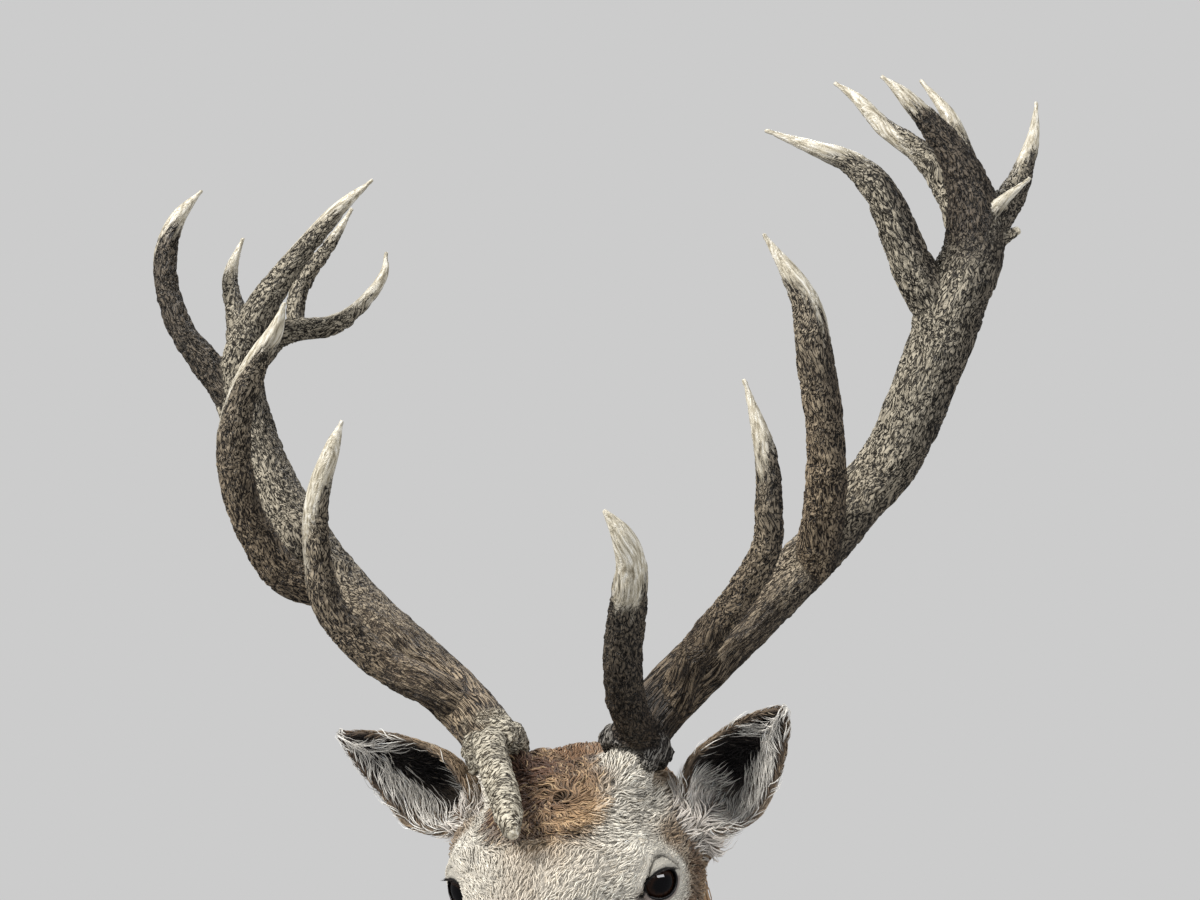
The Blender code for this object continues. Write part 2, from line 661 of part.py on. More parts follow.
def ear(side, ends, collection, place):
    """A cupped leaf with an open front, on a short round root."""
    root, length, along, across, faces = ear_axes(ends)
    count_long, count_wide = 9, 9
    bm = bmesh.new()
    grid = []
    for i in range(count_long + 1):
        s = i / count_long
        half = EAR_HALF_WIDTH * (1 - s * s) ** 0.75 * (0.56 + 0.44 * min(1.0, s / 0.3) ** 0.7)
        half = max(half, 0.0035)
        span = math.radians(150 - 115 * s**0.7)
        radius = half / math.sin(min(span, math.pi / 2))
        middle = root + along * (EAR_START + (length - EAR_START) * s) - faces * 0.016 * math.sin(math.pi * s**0.8)
        row = []
        for j in range(count_wide):
            angle = span * (2 * j / (count_wide - 1) - 1)
            spot = middle + across * radius * math.sin(angle) + faces * radius * (1 - math.cos(angle))
            spot -= faces * EAR_ROOT_RADIUS * 0.8 * (1 - s) ** 2
            row.append(bm.verts.new(spot))
        grid.append(row)
    for low, high in zip(grid, grid[1:]):
        for j in range(count_wide - 1):
            bm.faces.new((low[j], low[j + 1], high[j + 1], high[j]))
    shell = add_object(f"ear_{side}", mesh_from(bm, f"ear_{side}"), collection, place)
    thick = shell.modifiers.new("thickness", "SOLIDIFY")
    thick.thickness = EAR_THICK
    thick.offset = 0.0
    applied(shell)
    rows = [(*(root + along * at), radius)
            for at, radius in ((0.0, EAR_ROOT_RADIUS), (0.008, EAR_ROOT_RADIUS * 0.97),
                               (0.014, EAR_ROOT_RADIUS * 0.90), (0.018, EAR_ROOT_RADIUS * 0.6))]
    return boolean(shell, [tube(f"{side}_ear_root", rows, 3, collection, place)], "UNION")


def eye(side, collection, place):
    """The whole eyeball, of which the lids leave an almond bare."""
    name = "left" if side > 0 else "right"
    return ball(f"eye_{name}", EYE_RADIUS, EYE_RINGS, eye_frame(side), collection, place)


def neck_ends():
    """The neck's outline at the board and at the head, point for point, in world metres."""
    ring = head_ring(FACE_SECTIONS[0][0] * MM, HEAD_SIDES)
    back = FACE_SECTIONS[0][0] * MM
    normal = (FACE.to_3x3() @ Vector((0, 1, NECK_CUT_TILT))).normalized()
    at_head = [FACE @ Vector((x, -(back + cut_shift(back, z)), z)) + normal * GAP for x, z in ring]
    at_board = []
    half_wide, half_high = NECK_BASE_HALF
    for x, z in ring:
        angle = math.atan2(x, z - NECK_CUT_LEVEL)
        wide = half_wide * math.sin(angle) * (1 - 0.12 * math.cos(angle))
        at_board.append(Vector((wide, -BOARD_THICK - GAP, NECK_BASE_Z + half_high * math.cos(angle))))
    return at_board, at_head


def coat_depth(t, angle):
    """How far the coat's tips stand off the neck's core: deepest under the throat, thin on the nape."""
    under = ((1 - math.cos(angle)) / 2) ** 1.5
    return (0.004 + 0.040 * under) * math.sin(math.pi * (0.12 + 0.86 * t)) ** 0.7


def neck_shape():
    """A function for the neck's points: how far from board to head, the angle from the nape, the height of coat."""
    at_board, at_head = neck_ends()
    sides = len(at_board)
    low_middle = sum(at_board, Vector()) / sides
    high_middle = sum(at_head, Vector()) / sides

    def place(t, angle, height):
        turn = angle / (2 * math.pi) * sides
        k = math.floor(turn)
        low = at_board[k % sides].lerp(at_board[(k + 1) % sides], turn - k)
        high = at_head[k % sides].lerp(at_head[(k + 1) % sides], turn - k)
        grown = 1 - (1 - t) ** NECK_SLIMNESS
        middle = low_middle.lerp(high_middle, t)
        spot = low.lerp(high, t)
        spot.x = middle.x + (low.x - low_middle.x) * (1 - grown) + (high.x - high_middle.x) * grown
        out = (spot - middle).normalized()
        forward = Vector((0, -1, 0)) * THROAT_FULLNESS * math.sin(math.pi * t) * (1 - math.cos(angle)) / 2
        return spot + forward + out * height

    return place, sides


def mane_lock(name, place, root, angle, length, wide, sway, collection):
    """One flat, tapered lock: its root is sunk in the neck's core and its tip stands at the coat's full height."""
    bm = bmesh.new()
    rows = []
    for s, share, thick, rise in LOCK_FORM:
        t = root - length * s
        turn = angle + sway * s * s
        height = (coat_depth(t, turn) + LOCK_SINK) * rise - LOCK_SINK
        centre = place(t, turn, height)
        out = (place(t, turn, height + 0.01) - centre).normalized()
        along = place(t - 0.01, turn, height) - place(t + 0.01, turn, height)
        side = along.cross(out).normalized()
        half = wide / 2 * share
        deep = LOCK_THICK / 2 * thick
        rows.append([bm.verts.new(centre + step) for step in (side * half, out * deep, -side * half, -out * deep)])
    tip_turn = angle + sway
    tip = bm.verts.new(place(root - length, tip_turn, coat_depth(root - length, tip_turn)))
    for low, high in zip(rows, rows[1:]):
        for k in range(4):
            bm.faces.new((low[k], low[(k + 1) % 4], high[(k + 1) % 4], high[k]))
    bm.faces.new(rows[0])
    for k in range(4):
        bm.faces.new((rows[-1][k], rows[-1][(k + 1) % 4], tip))
    return add_object(name, mesh_from(bm, name), collection)


def mane(place, collection):
    """Rows of locks round the neck, each row overlapping the one nearer the board, none along the nape."""
    draw = random.Random("mane")
    locks = []
    for row in range(LOCK_ROWS):
        root = LOCK_FIRST + (LOCK_LAST - LOCK_FIRST) * row / (LOCK_ROWS - 1)
        count = LOCKS_AROUND + row % 2
        for k in range(count):
            angle = math.pi + LOCK_SPREAD * ((k + 0.5) / count * 2 - 1) + draw.uniform(-0.06, 0.06)
            under = (1 - math.cos(angle)) / 2
            here = root + draw.uniform(-0.012, 0.012)
            length = min((LOCK_SHORT + (LOCK_LONG - LOCK_SHORT) * under) * draw.uniform(0.85, 1.15), here - 0.02)
            wide = LOCK_WIDE * draw.uniform(0.85, 1.15) * (0.75 + 0.25 * (1 - abs(root - 0.4)))
            sway = draw.uniform(-0.10, 0.10)
            locks.append(mane_lock(f"lock_{row}_{k}", place, here, angle, length, wide, sway, collection))
    return locks


def neck(collection):
    """The neck's core from the board to the head, with the mane's locks over it."""
    place, sides = neck_shape()
    bm = bmesh.new()
    rings = []
    for i in range(NECK_RINGS):
        t = i / (NECK_RINGS - 1)
        ring = []
        for k in range(sides):
            angle = 2 * math.pi * k / sides
            height = coat_depth(t, angle) * CORE_SHARE if 0 < i < NECK_RINGS - 1 else 0.0
            ring.append(bm.verts.new(place(t, angle, height)))
        rings.append(ring)
    for low, high in zip(rings, rings[1:]):
        for k in range(sides):
            bm.faces.new((low[k], low[(k + 1) % sides], high[(k + 1) % sides], high[k]))
    bm.faces.new(rings[0])
    bm.faces.new(rings[-1])
    core = add_object("neck", mesh_from(bm, "neck"), collection)
    return boolean(core, mane(place, collection), "UNION", solver="MANIFOLD")


def arc(centre, radius, start, end, count):
    """Points round a centre, as x and z, from one angle to another in degrees from straight up."""
    angles = [math.radians(start + (end - start) * k / (count - 1)) for k in range(count)]
    return [(centre[0] + radius[0] * math.sin(a), centre[1] + radius[1] * math.cos(a)) for a in angles]


def board_outline(inset):
    """The board's shield outline as x and z: an arched top, notched shoulders and a pointed foot."""
    half_wide = BOARD_WIDTH / 2 - inset
    top = BOARD_HEIGHT / 2 - inset
    shoulder = top - SHOULDER_DROP
    reach = half_wide - NOTCH_RADIUS
    rise = SHOULDER_DROP - NOTCH_RADIUS
    half = [(reach * k / 5, top - rise * (k / 5) ** 2) for k in range(6)]
    half += arc((half_wide, shoulder + NOTCH_RADIUS), (NOTCH_RADIUS, NOTCH_RADIUS), -90, -180, 5)[1:]
    side_start = shoulder - NOTCH_RADIUS
    half.append((half_wide, side_start))
    for k in range(1, 13):
        t = k / 12
        drop = FOOT_POINT * t + (1 - FOOT_POINT) * math.sin(t * math.pi / 2)
        half.append((half_wide * (1 - t**SIDE_FULLNESS), side_start + (-top - side_start) * drop))
    return half + [(-x, z) for x, z in reversed(half[1:-1])]


def board_layer(name, inset, start, thick, edge, collection):
    """One flat layer of the board, with an eased edge."""
    curve = bpy.data.curves.new(name, "CURVE")
    curve.dimensions = "2D"
    curve.fill_mode = "BOTH"
    curve.extrude = thick / 2
    spline = curve.splines.new("POLY")
    outline = board_outline(inset)
    spline.points.add(len(outline) - 1)
    for point, (x, z) in zip(spline.points, outline):
        point.co = (x, z, 0.0, 1.0)
    spline.use_cyclic_u = True
    source = add_object(name + "_curve", curve, collection)
    bpy.context.view_layer.update()
    graph = bpy.context.evaluated_depsgraph_get()
    mesh = bpy.data.meshes.new_from_object(source.evaluated_get(graph))
    bpy.data.objects.remove(source, do_unlink=True)
    place = Matrix.Translation((0, -start - thick / 2, BOARD_CENTRE_Z)) @ Matrix.Rotation(math.pi / 2, 4, "X")
    mesh.transform(place)
    bm = bmesh.new()
    bm.from_mesh(mesh)
    bmesh.ops.remove_doubles(bm, verts=bm.verts, dist=GAP * 0.1)
    bmesh.ops.dissolve_limit(bm, angle_limit=0.01, verts=bm.verts, edges=bm.edges)
    layer = add_object(name, mesh_from(bm, name), collection)
    if edge:
        bevel = layer.modifiers.new("edge", "BEVEL")
        bevel.width = edge
        bevel.segments = 2
        bevel.limit_method = "ANGLE"
        bevel.angle_limit = math.radians(60)
        applied(layer)
    return layer


def board(collection):
    """The wooden shield: a full plate with a smaller raised one on it."""
    plate = board_layer("board", 0.0, 0.0, BOARD_THICK - BOARD_RAISED, 0.0, collection)
    overlap = 0.004
    raised = board_layer("board_raised", BOARD_STEP_IN, BOARD_THICK - BOARD_RAISED - overlap,
                         BOARD_RAISED + overlap, 0.003, collection)
    return boolean(plate, [raised], "UNION")


def dress(obj, material):
    obj.data.materials.clear()
    obj.data.materials.append(material)
    obj.data.shade_smooth()
    obj.data.set_sharp_from_angle(angle=math.radians(40))


def main():
    clear_scene()
    parts = new_collection("red_deer_stag_head_mount")
    cutters = new_collection("cutters", hidden=True)
    stag_place = add_empty("stag_place", STAG, parts)
    face_place = add_empty("face_place", FACE, parts)
    bpy.context.view_layer.update()

    bone = paint("antler", (0.16, 0.12, 0.09), 0.55)
    pale_hair = paint("face_coat", (0.52, 0.48, 0.43), 0.9)
    mane_hair = paint("mane_coat", (0.22, 0.16, 0.11), 0.9)
    glass = paint("eye_glass", (0.012, 0.009, 0.007), 0.05)
    wood = paint("board_wood", (0.16, 0.075, 0.035), 0.4)

    for side, points, cuts, tines, spurs in (
        ("left", LEFT_BEAM, LEFT_CUTS, LEFT_TINES, LEFT_SPURS),
        ("right", RIGHT_BEAM, RIGHT_CUTS, RIGHT_TINES, RIGHT_SPURS),
    ):
        for obj in antler(side, points, cuts, tines, spurs, parts, stag_place)[0]:
            dress(obj, bone)
    dress(head(parts, cutters, face_place), pale_hair)
    for name, ends in (("left", LEFT_EAR), ("right", RIGHT_EAR)):
        dress(ear(name, ends, parts, stag_place), pale_hair)
    for side in (1, -1):
        dress(eye(side, parts, face_place), glass)
    dress(neck(parts), mane_hair)
    dress(board(parts), wood)


main()
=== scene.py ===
"""The looks of the red deer stag's head mount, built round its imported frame.

Metres, +Z up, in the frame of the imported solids. One skin stands for head, neck and ears, and tufts and locks
of solid mesh grow on it along the lie of the coat. Antlers, eyes and board are separate pieces.
"""

import itertools
import json
import math

import bmesh
import bpy
import numpy as np
from mathutils import Matrix, Vector
from mathutils.bvhtree import BVHTree
from mathutils.kdtree import KDTree

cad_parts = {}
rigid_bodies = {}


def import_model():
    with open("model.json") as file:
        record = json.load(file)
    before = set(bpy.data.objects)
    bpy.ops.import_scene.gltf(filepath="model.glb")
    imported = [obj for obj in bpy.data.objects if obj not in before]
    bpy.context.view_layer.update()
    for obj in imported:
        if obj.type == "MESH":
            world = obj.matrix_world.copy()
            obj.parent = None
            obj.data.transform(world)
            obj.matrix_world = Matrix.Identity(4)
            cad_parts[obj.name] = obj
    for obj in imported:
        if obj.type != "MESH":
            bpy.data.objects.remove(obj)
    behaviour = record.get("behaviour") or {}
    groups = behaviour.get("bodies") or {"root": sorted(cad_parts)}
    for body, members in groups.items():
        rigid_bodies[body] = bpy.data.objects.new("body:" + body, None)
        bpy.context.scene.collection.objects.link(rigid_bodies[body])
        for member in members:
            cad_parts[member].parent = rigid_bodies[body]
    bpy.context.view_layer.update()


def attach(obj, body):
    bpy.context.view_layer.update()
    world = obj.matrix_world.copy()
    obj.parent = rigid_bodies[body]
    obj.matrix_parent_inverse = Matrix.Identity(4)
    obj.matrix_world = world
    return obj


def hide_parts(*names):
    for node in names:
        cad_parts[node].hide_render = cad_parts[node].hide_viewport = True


MM = 0.001
GAP = 0.0003
SIDES = {"left": 1, "right": -1}

# Driving sizes of the board
BOARD_WIDTH = 0.44
BOARD_HEIGHT = 0.60
BOARD_THICK = 0.026
BOARD_RAISED = 0.010
BOARD_CENTRE_Z = -0.06
BOARD_STEP_IN = 0.020
FIELD_ROUND = 0.004
SHOULDER_DROP = 0.065
NOTCH_RADIUS = 0.032
SIDE_FULLNESS = 2.4
FOOT_POINT = 0.6

# Driving sizes of the pose
EYE_POINT = Vector((-0.05, -0.46, 0.30))
HEAD_TURN = math.radians(-18)
FACE_SLOPE = math.radians(30)

# Driving sizes of the head, along the face line from the point between the eyes
EYE_RADIUS = 0.018
EYE_CENTRES = {"left": Vector((0.0715, 0.004, -0.004)), "right": Vector((-0.063, 0.001, -0.004))}
EYE_LOOKS = {"left": Vector((0.78, -0.59, 0.20)), "right": Vector((-0.57, -0.795, 0.20))}
EYE_TILT = -0.2
DOME_RADIUS = EYE_RADIUS * 1.05
LID_THICK = 0.0026
EYE_OPENING = (0.0142, 0.0106)
NECK_CUT_TILT = 0.34
NECK_CUT_LEVEL = -0.04
PEDICLE_RADIUS = 0.019

# Driving sizes of the neck
NECK_BASE_HALF = (0.148, 0.200)
NECK_BASE_Z = -0.045
NECK_SLIMNESS = 1.8
THROAT_FULLNESS = 0.060

# Driving sizes of the mane: the skin's height under it as a share of the coat's depth, places and lengths as
# shares of the neck's length from board to head, then a lock's width and the radius that it lies round
UNDER_MANE = 0.27
LOCK_FIRST = 0.95
LOCK_LAST = 0.16
LOCK_SPREAD = math.radians(128)
LOCK_SHORT = 0.19
LOCK_LONG = 0.30
LOCK_WIDE = 0.040
LOCK_RADIUS = 0.13

# Driving sizes of the ears
EAR_ROOT_RADIUS = 0.023
EAR_HALF_WIDTH = 0.034
EAR_START = 0.010

# Face line sections: ahead of the eyes, top, underside, then half widths at temple, eye, cheek and jaw
FACE_SECTIONS = (
    (-132, 28, -112, 44, 64, 68, 48),
    (-105, 43, -122, 55, 80, 79, 53),
    (-80, 51, -127, 61, 91, 87, 55),
    (-50, 54, -126, 64, 93, 87, 53),
    (-22, 52, -120, 66, 88, 81, 48),
    (0, 49, -113, 64, 80, 73, 45),
    (22, 46, -105, 55, 69, 67, 42),
    (48, 42, -97, 43, 57, 60, 39),
    (78, 37, -89, 34, 47, 52, 35),
    (108, 32, -81, 29, 40, 45, 32),
    (140, 28, -75, 26, 36, 40, 30),
    (172, 24, -71, 25, 34, 38, 29),
    (200, 20, -69, 25, 36, 38, 29),
    (222, 14, -65, 24, 36, 36, 27),
    (238, 5, -55, 20, 31, 31, 22),
    (247, -8, -38, 13, 21, 21, 14),
    (252, -15, -31, 6, 10, 10, 7),
)
CROWN_FLAT = (0.62, 0.035)
HEIGHT_SHARES = (0.15, 0.34, 0.62, 0.90)

# Antlers: each limb's points as left, back, up and radius in millimetres
LEFT_BEAM = (
    (49, 50, 87, 20.5), (58, 60, 112, 20.5), (86, 77, 144, 21.3), (146, 95, 199, 20),
    (188, 102, 237, 19), (221, 105, 274, 20), (253, 102, 309, 21.5), (292, 88, 381, 22.5),
    (305, 80, 411, 24), (324, 78, 448, 22), (328, 72, 478, 18.5), (325, 65, 502, 15),
    (315, 56, 527, 11), (289, 42, 564, 6), (271, 36, 583, 1),
)
LEFT_TINES = (
    ("brow", (
        (57, 54, 106, 9), (60, 26, 110, 13), (67, -20, 132, 13.3), (80, -60, 162, 13),
        (98, -100, 194, 12), (107, -120, 215, 10), (107, -136, 233, 7.7), (98, -147, 251, 1.5))),
    ("bez", (
        (76, 66, 122, 13), (105, 42, 163, 12), (142, 25, 198, 11), (171, 2, 230, 10.3),
        (181, -20, 265, 9.2), (182, -32, 301, 7.2), (172, -40, 350, 1))),
    ("trez", (
        (186, 98, 226, 15.5), (206, 55, 270, 14.9), (216, 20, 318, 13), (219, -15, 366, 12.6),
        (217, -33, 405, 9.5), (193, -45, 452, 1))),
    ("crown_front", (
        (299, 82, 406, 17), (284, 60, 434, 15.5), (271, 32, 480, 12.3), (261, 22, 500, 10.8),
        (245, 15, 515, 8.2), (226, 8, 524, 5.8), (188, 0, 542, 1.2))),
    ("crown_inner", (
        (320, 82, 455, 11), (307, 92, 503, 9.6), (288, 95, 537, 8.8), (261, 98, 562, 6.7),
        (242, 97, 587, 4.5), (224, 95, 603, 1))),
    ("crown_back", (
        (318, 78, 462, 10), (323, 97, 510, 9), (317, 105, 542, 8), (309, 110, 569, 5.5),
        (289, 112, 601, 1))),
    ("crown_outer", (
        (320, 80, 448, 14), (342, 94, 479, 12.5), (356, 106, 502, 9.7), (365, 113, 524, 7),
        (372, 118, 546, 4.5), (376, 120, 573, 1))),
)
LEFT_SPURS = (
    ((325, 78, 458, 8), (347, 62, 479, 5), (374, 45, 493, 1)),
    ((322, 80, 448, 8), (361, 75, 463, 3)),
)
RIGHT_BEAM = (
    (-56, 49, 84, 19.5), (-68, 53, 108, 20), (-102, 70, 139, 21), (-152, 86, 178, 22),
    (-203, 98, 222, 22), (-246, 104, 275, 20.5), (-279, 104, 330, 20), (-299, 97, 390, 20),
    (-294, 87, 426, 17.5), (-267, 68, 467, 13), (-228, 52, 500, 9), (-180, 38, 535, 6),
    (-143, 30, 555, 1),
)
RIGHT_TINES = (
    ("brow", (
        (-62, 52, 106, 8), (-53, 18, 98, 11.5), (-38, -10, 80, 11.5), (-21, -38, 60, 10.5),
        (-11, -58, 47, 9), (-2, -74, 36, 4))),
    ("bez", (
        (-82, 64, 124, 12), (-109, 45, 145, 14), (-141, 34, 163, 13.5), (-164, 20, 185, 12.5),
        (-179, 4, 214, 11.5), (-180, -10, 250, 10.3), (-172, -25, 291, 8.8), (-154, -35, 327, 6),
        (-142, -40, 348, 1))),
    ("trez", (
        (-214, 100, 231, 16), (-248, 72, 244, 15), (-262, 45, 278, 13.5), (-265, 22, 316, 13.3),
        (-259, 5, 350, 12.8), (-242, -10, 382, 11), (-222, -22, 406, 9), (-200, -34, 425, 6),
        (-186, -45, 444, 1))),
    ("crown_outer", (
        (-296, 96, 382, 13), (-317, 82, 420, 13), (-339, 69, 455, 10.5), (-350, 62, 491, 9.6),
        (-351, 60, 525, 9), (-339, 60, 554, 6.5), (-316, 62, 577, 1))),
    ("crown_spur", (
        (-297, 92, 425, 11), (-313, 110, 480, 8), (-321, 118, 515, 6), (-309, 120, 548, 1))),
    ("crown_inner", (
        (-297, 92, 420, 12.5), (-266, 102, 453, 10), (-222, 108, 458, 8), (-195, 108, 470, 6),
        (-172, 108, 494, 4), (-167, 106, 516, 1))),
    ("crown_back", (
        (-253, 105, 457, 5.5), (-253, 109, 484, 7.8), (-242, 112, 508, 6.7), (-219, 112, 533, 4.7),
        (-200, 112, 559, 1))),
)
ANTLERS = {"left": (LEFT_BEAM, LEFT_TINES, LEFT_SPURS), "right": (RIGHT_BEAM, RIGHT_TINES, ())}
FACET_LOSS = 1.055
LIMB_STEP = 0.002
TIP_RADIUS = 0.0020

# Ears: root and tip in millimetres
EARS = {"left": ((90, 86, 39), (172, 30, 117)), "right": ((-93, 86, 46), (-184, 32, 113))}
EAR_FACES = Vector((0.25, -0.95, 0.0))

STAG = Matrix.Translation(EYE_POINT) @ Matrix.Rotation(HEAD_TURN, 4, "Z")
FACE = STAG @ Matrix.Rotation(FACE_SLOPE, 4, "X")

# Driving sizes of the camera, in the photograph's frame of 1200 by 900
CAMERA_PLACE = Vector((-0.003, -1.951, 0.396))
CAMERA_PITCH = math.radians(8.4)
CAMERA_ROLL = math.radians(-2.4)
CAMERA_LENS = 60.0
SENSOR_WIDTH = 36.0
FLOOR_LEVEL = -0.85
FLOOR_SIZE = 8.0

# Lamps: place, aim, width and height, power and colour
LAMPS = (
    ("key", (-1.8, -1.8, 2.4), (0, -0.3, 0.40), (1.0, 0.6), 119, (1.0, 0.98, 0.95)),
    ("fill", (1.83, -1.89, 1.25), (0, -0.45, 0.3), (1.8, 0.44), 25, (0.97, 0.98, 1.0)),
    ("top", (0.3, 0.6, 2.6), (0, -0.2, 0.5), (1.0, 1.0), 30, (1, 1, 1)),
)

# Driving sizes of the skin
SKIN_VOXEL = 0.00263
HEAD_STEP = 0.003
HEAD_FINE = 150
NECK_FINE_RINGS = 70
EAR_FINE = 44
EAR_SHEET = 0.0042

# Driving sizes of the antlers' surface
ANTLER_VOXEL = 0.00171
RELIEF_HIGH = 0.0012
RELIEF_WIDE = 0.0023
UNEVEN_HIGH = 0.0016

# Bare ivory on each limb: its share of the limb from the tip, then how much further it runs on the side that
# faces a direction (left, back and up of the stag)
IVORY = {
    "left": {
        "beam": (0.055, 0.03, (0, 0, 1)), "brow": (0.22, 0.06, (0, -1, 0)), "bez": (0.16, 0.06, (-1, -1, 0)),
        "trez": (0.14, 0.14, (1, 0, 0)), "crown_front": (0.28, 0.16, (0, 0, 1)),
        "crown_inner": (0.30, 0.24, (-1, -1, -1)), "crown_back": (0.34, 0.10, (1, 0, 0)),
        "crown_outer": (0.26, 0.20, (-1, -1, 0)), "spur_0": (0.50, 0.20, (0, -1, 1)),
        "spur_1": (0.1, 0, (0, 0, 1)),
    },
    "right": {
        "beam": (0.065, 0.12, (-1, 0, 1)), "brow": (0.0, 0, (0, 0, 1)), "bez": (0.18, 0.18, (-1, -1, 0)),
        "trez": (0.13, 0.34, (-1, 0, 0.4)), "crown_outer": (0.18, 0.18, (-1, 0, 0)),
        "crown_spur": (0.26, 0.10, (-1, 0, 0)), "crown_inner": (0.28, 0.26, (0, 0, 1)),
        "crown_back": (0.20, 0.14, (0, 0, 1)),
    },
}

# How much a limb is stained dark: at its foot, further on, where the foot's stain ends, and near its tip
DIMNESS = {
    "left": {
        "beam": (1.0, 0.0, 0.13, 0.90), "brow": (1.0, 0.85, 0.18, 0), "bez": (0.60, 0.20, 0.22, 0),
        "trez": (0.25, 0.05, 0.10, 0), "crown_front": (0.15, 0.05, 0.06, 0),
        "crown_outer": (0.2, 0.2, 0.1, 0),
    },
    "right": {
        "bez": (0.30, 0.10, 0.20, 0), "trez": (0.40, 0.40, 0.10, 0), "crown_outer": (0.85, 0.85, 0.10, 0),
        "crown_inner": (0.20, 0.10, 0.10, 0),
    },
}

# Colours as they look on a screen, from 0 to 255
WHITE_HAIR = (234, 228, 214)
GREY_HAIR = (184, 175, 161)
BROWN_HAIR = (126, 94, 64)
GOLD_HAIR = (182, 152, 114)
TAN_HAIR = (188, 158, 120)
DARK_HAIR = (78, 56, 42)
ROSE_HAIR = (86, 61, 46)
FRINGE_HAIR = (66, 44, 28)
MANE_HAIR = (104, 80, 60)
NECK_HAIR = (140, 112, 84)
EAR_SKIN = (24, 19, 19)
EAR_HAIR = (226, 222, 214)
FLUFF_HAIR = (228, 220, 210)
NOSE_SKIN = (34, 30, 30)

# The forehead's whorled patch, in the face's frame
PATCH_HALF = (0.046, 0.066)
PATCH_CENTRE = 0.052
WHORL = (0.008, 0.034)

# Places on the coat's unwrap, as left, low, right and high: head and neck, then where the inner and the outer
# faces of the ears start, the ears' rows and their size, and the size of one tuft's own patch
HEAD_CHART = (0.01, 0.51, 0.66, 0.99)
NECK_CHART = (0.01, 0.01, 0.66, 0.49)
INNER_EAR_START = 0.69
OUTER_EAR_START = 0.85
EAR_ROWS = {"left": 0.02, "right": 0.27}
EAR_CHART_SIZE = (0.14, 0.22)
BAKE_PATCH = 0.003

# How far a tuft's tip droops, as a share of its height, and how deep its root sits in the skin
TUFT_DROOP = 0.15
TUFT_SINK = 0.0006

# Swellings of the head in the face's frame, alike on both sides: place, reach and push
HEAD_SWELLS = (
    ((0.077, 0.006, -0.004), (0.040, 0.032, 0.026), (0.0055, 0.0, 0.0)),
    ((0.062, 0.000, 0.023), (0.020, 0.024, 0.014), (0.007, -0.001, 0.004)),
    ((0.056, -0.042, -0.003), (0.018, 0.020, 0.012), (-0.005, 0.0, 0.0)),
    ((0.070, -0.012, -0.031), (0.020, 0.045, 0.010), (0.004, 0.0, 0.0)),
    ((0.068, 0.055, -0.070), (0.030, 0.035, 0.035), (0.005, 0.0, -0.002)),
    ((0.030, -0.222, -0.004), (0.014, 0.016, 0.012), (0.004, -0.002, 0.001)),
    ((0.0, -0.205, -0.066), (0.020, 0.022, 0.012), (0.0, -0.004, -0.004)),
)

# Swellings and hollows of one side: the poll's rise by the right coronet, the right temple, the flatter skin
# in front of the right eye and the fuller left orbit, then, over the neck's seam, the poll's fall by the left
# coronet and the rise behind that antler's foot
RIGHT_SWELLS = (
    ((0.036, 0.105, 0.044), (0.014, 0.030, 0.022), (0.0, 0.0, 0.0080)),
    ((0.088, 0.048, 0.016), (0.028, 0.026, 0.026), (0.0090, 0.0, 0.0050)),
    ((0.070, -0.018, -0.002), (0.024, 0.016, 0.026), (-0.0060, 0.0, 0.0)),
)
LEFT_SWELLS = (
    ((0.080, 0.004, -0.004), (0.030, 0.030, 0.026), (0.0050, 0.0, 0.0)),
)
SEAM_SWELLS = (
    ((-0.005, 0.126, 0.040), (0.018, 0.034, 0.026), (0.0, 0.0, -0.0150)),
    ((0.066, 0.100, 0.016), (0.018, 0.030, 0.022), (0.0080, 0.0, 0.0135)),
)

# Other places in the face's frame: the tear line's run from an eye's inner corner, the fluff by each ear's
# root, the left coronet, and the front, length and thickness of the mouth's line
TEAR_WAY = (-0.0075, -0.0300, -0.0075)
EAR_ROOT = (0.090, 0.074)
LEFT_CORONET = (0.048, 0.090, 0.042)
MOUTH_FRONT = -0.250
MOUTH_LENGTH = 0.086
MOUTH_RADIUS = 0.0018

# A nostril's hollow: how far to its side, along the face and up, and its radius
NOSTRIL = (
    (0.0400, -0.212, 0.010, 0.0024), (0.0370, -0.224, 0.010, 0.0050), (0.0305, -0.236, 0.006, 0.0078),
    (0.0235, -0.240, 0.000, 0.0082), (0.0180, -0.231, -0.006, 0.0056), (0.0150, -0.220, -0.008, 0.0032),
)

# The swollen foot of the right antler: its knobs and the white nub on its beam, each with its place along the
# beam, the way it faces and its radius
NUB_PLACE = 0.064
NUB_WAY = (-0.5, -0.85, 0)
KNOBS = (
    (0.024, (-1, -0.1, 0), 0.0058), (0.012, (1, -0.2, 0.4), 0.0056), (0.003, (-0.9, -0.4, 0), 0.0050),
    (NUB_PLACE, NUB_WAY, 0.0032),
)


def linear(colour):
    """A screen colour as linear light."""
    c = np.array(colour, float) / 255
    return np.where(c <= 0.04045, c / 12.92, ((c + 0.055) / 1.055) ** 2.4)


def unit(vectors):
    """Vectors brought to a length of one."""
    return vectors / np.maximum(np.linalg.norm(vectors, axis=-1, keepdims=True), 1e-9)


def ramp(low, high, value):
    """0 at low, 1 at high, smooth between them."""
    t = np.clip((value - low) / (high - low), 0, 1)
    return t * t * (3 - 2 * t)


def mix(a, b, share):
    """Colours or numbers a and b blended by share, row by row."""
    a, b = np.asarray(a, float), np.asarray(b, float)
    share = np.asarray(share, float)
    return a + (b - a) * (share[:, None] if a.ndim and share.ndim and a.shape[-1] == 3 else share)


def painted(colour, screen, share):
    """Colours blended by share towards one that is given as it looks on a screen."""
    return mix(colour, linear(screen), share)


def bell(value, wide):
    """1 where value is 0, falling off smoothly to either side."""
    return np.exp(-((value / wide) ** 2))


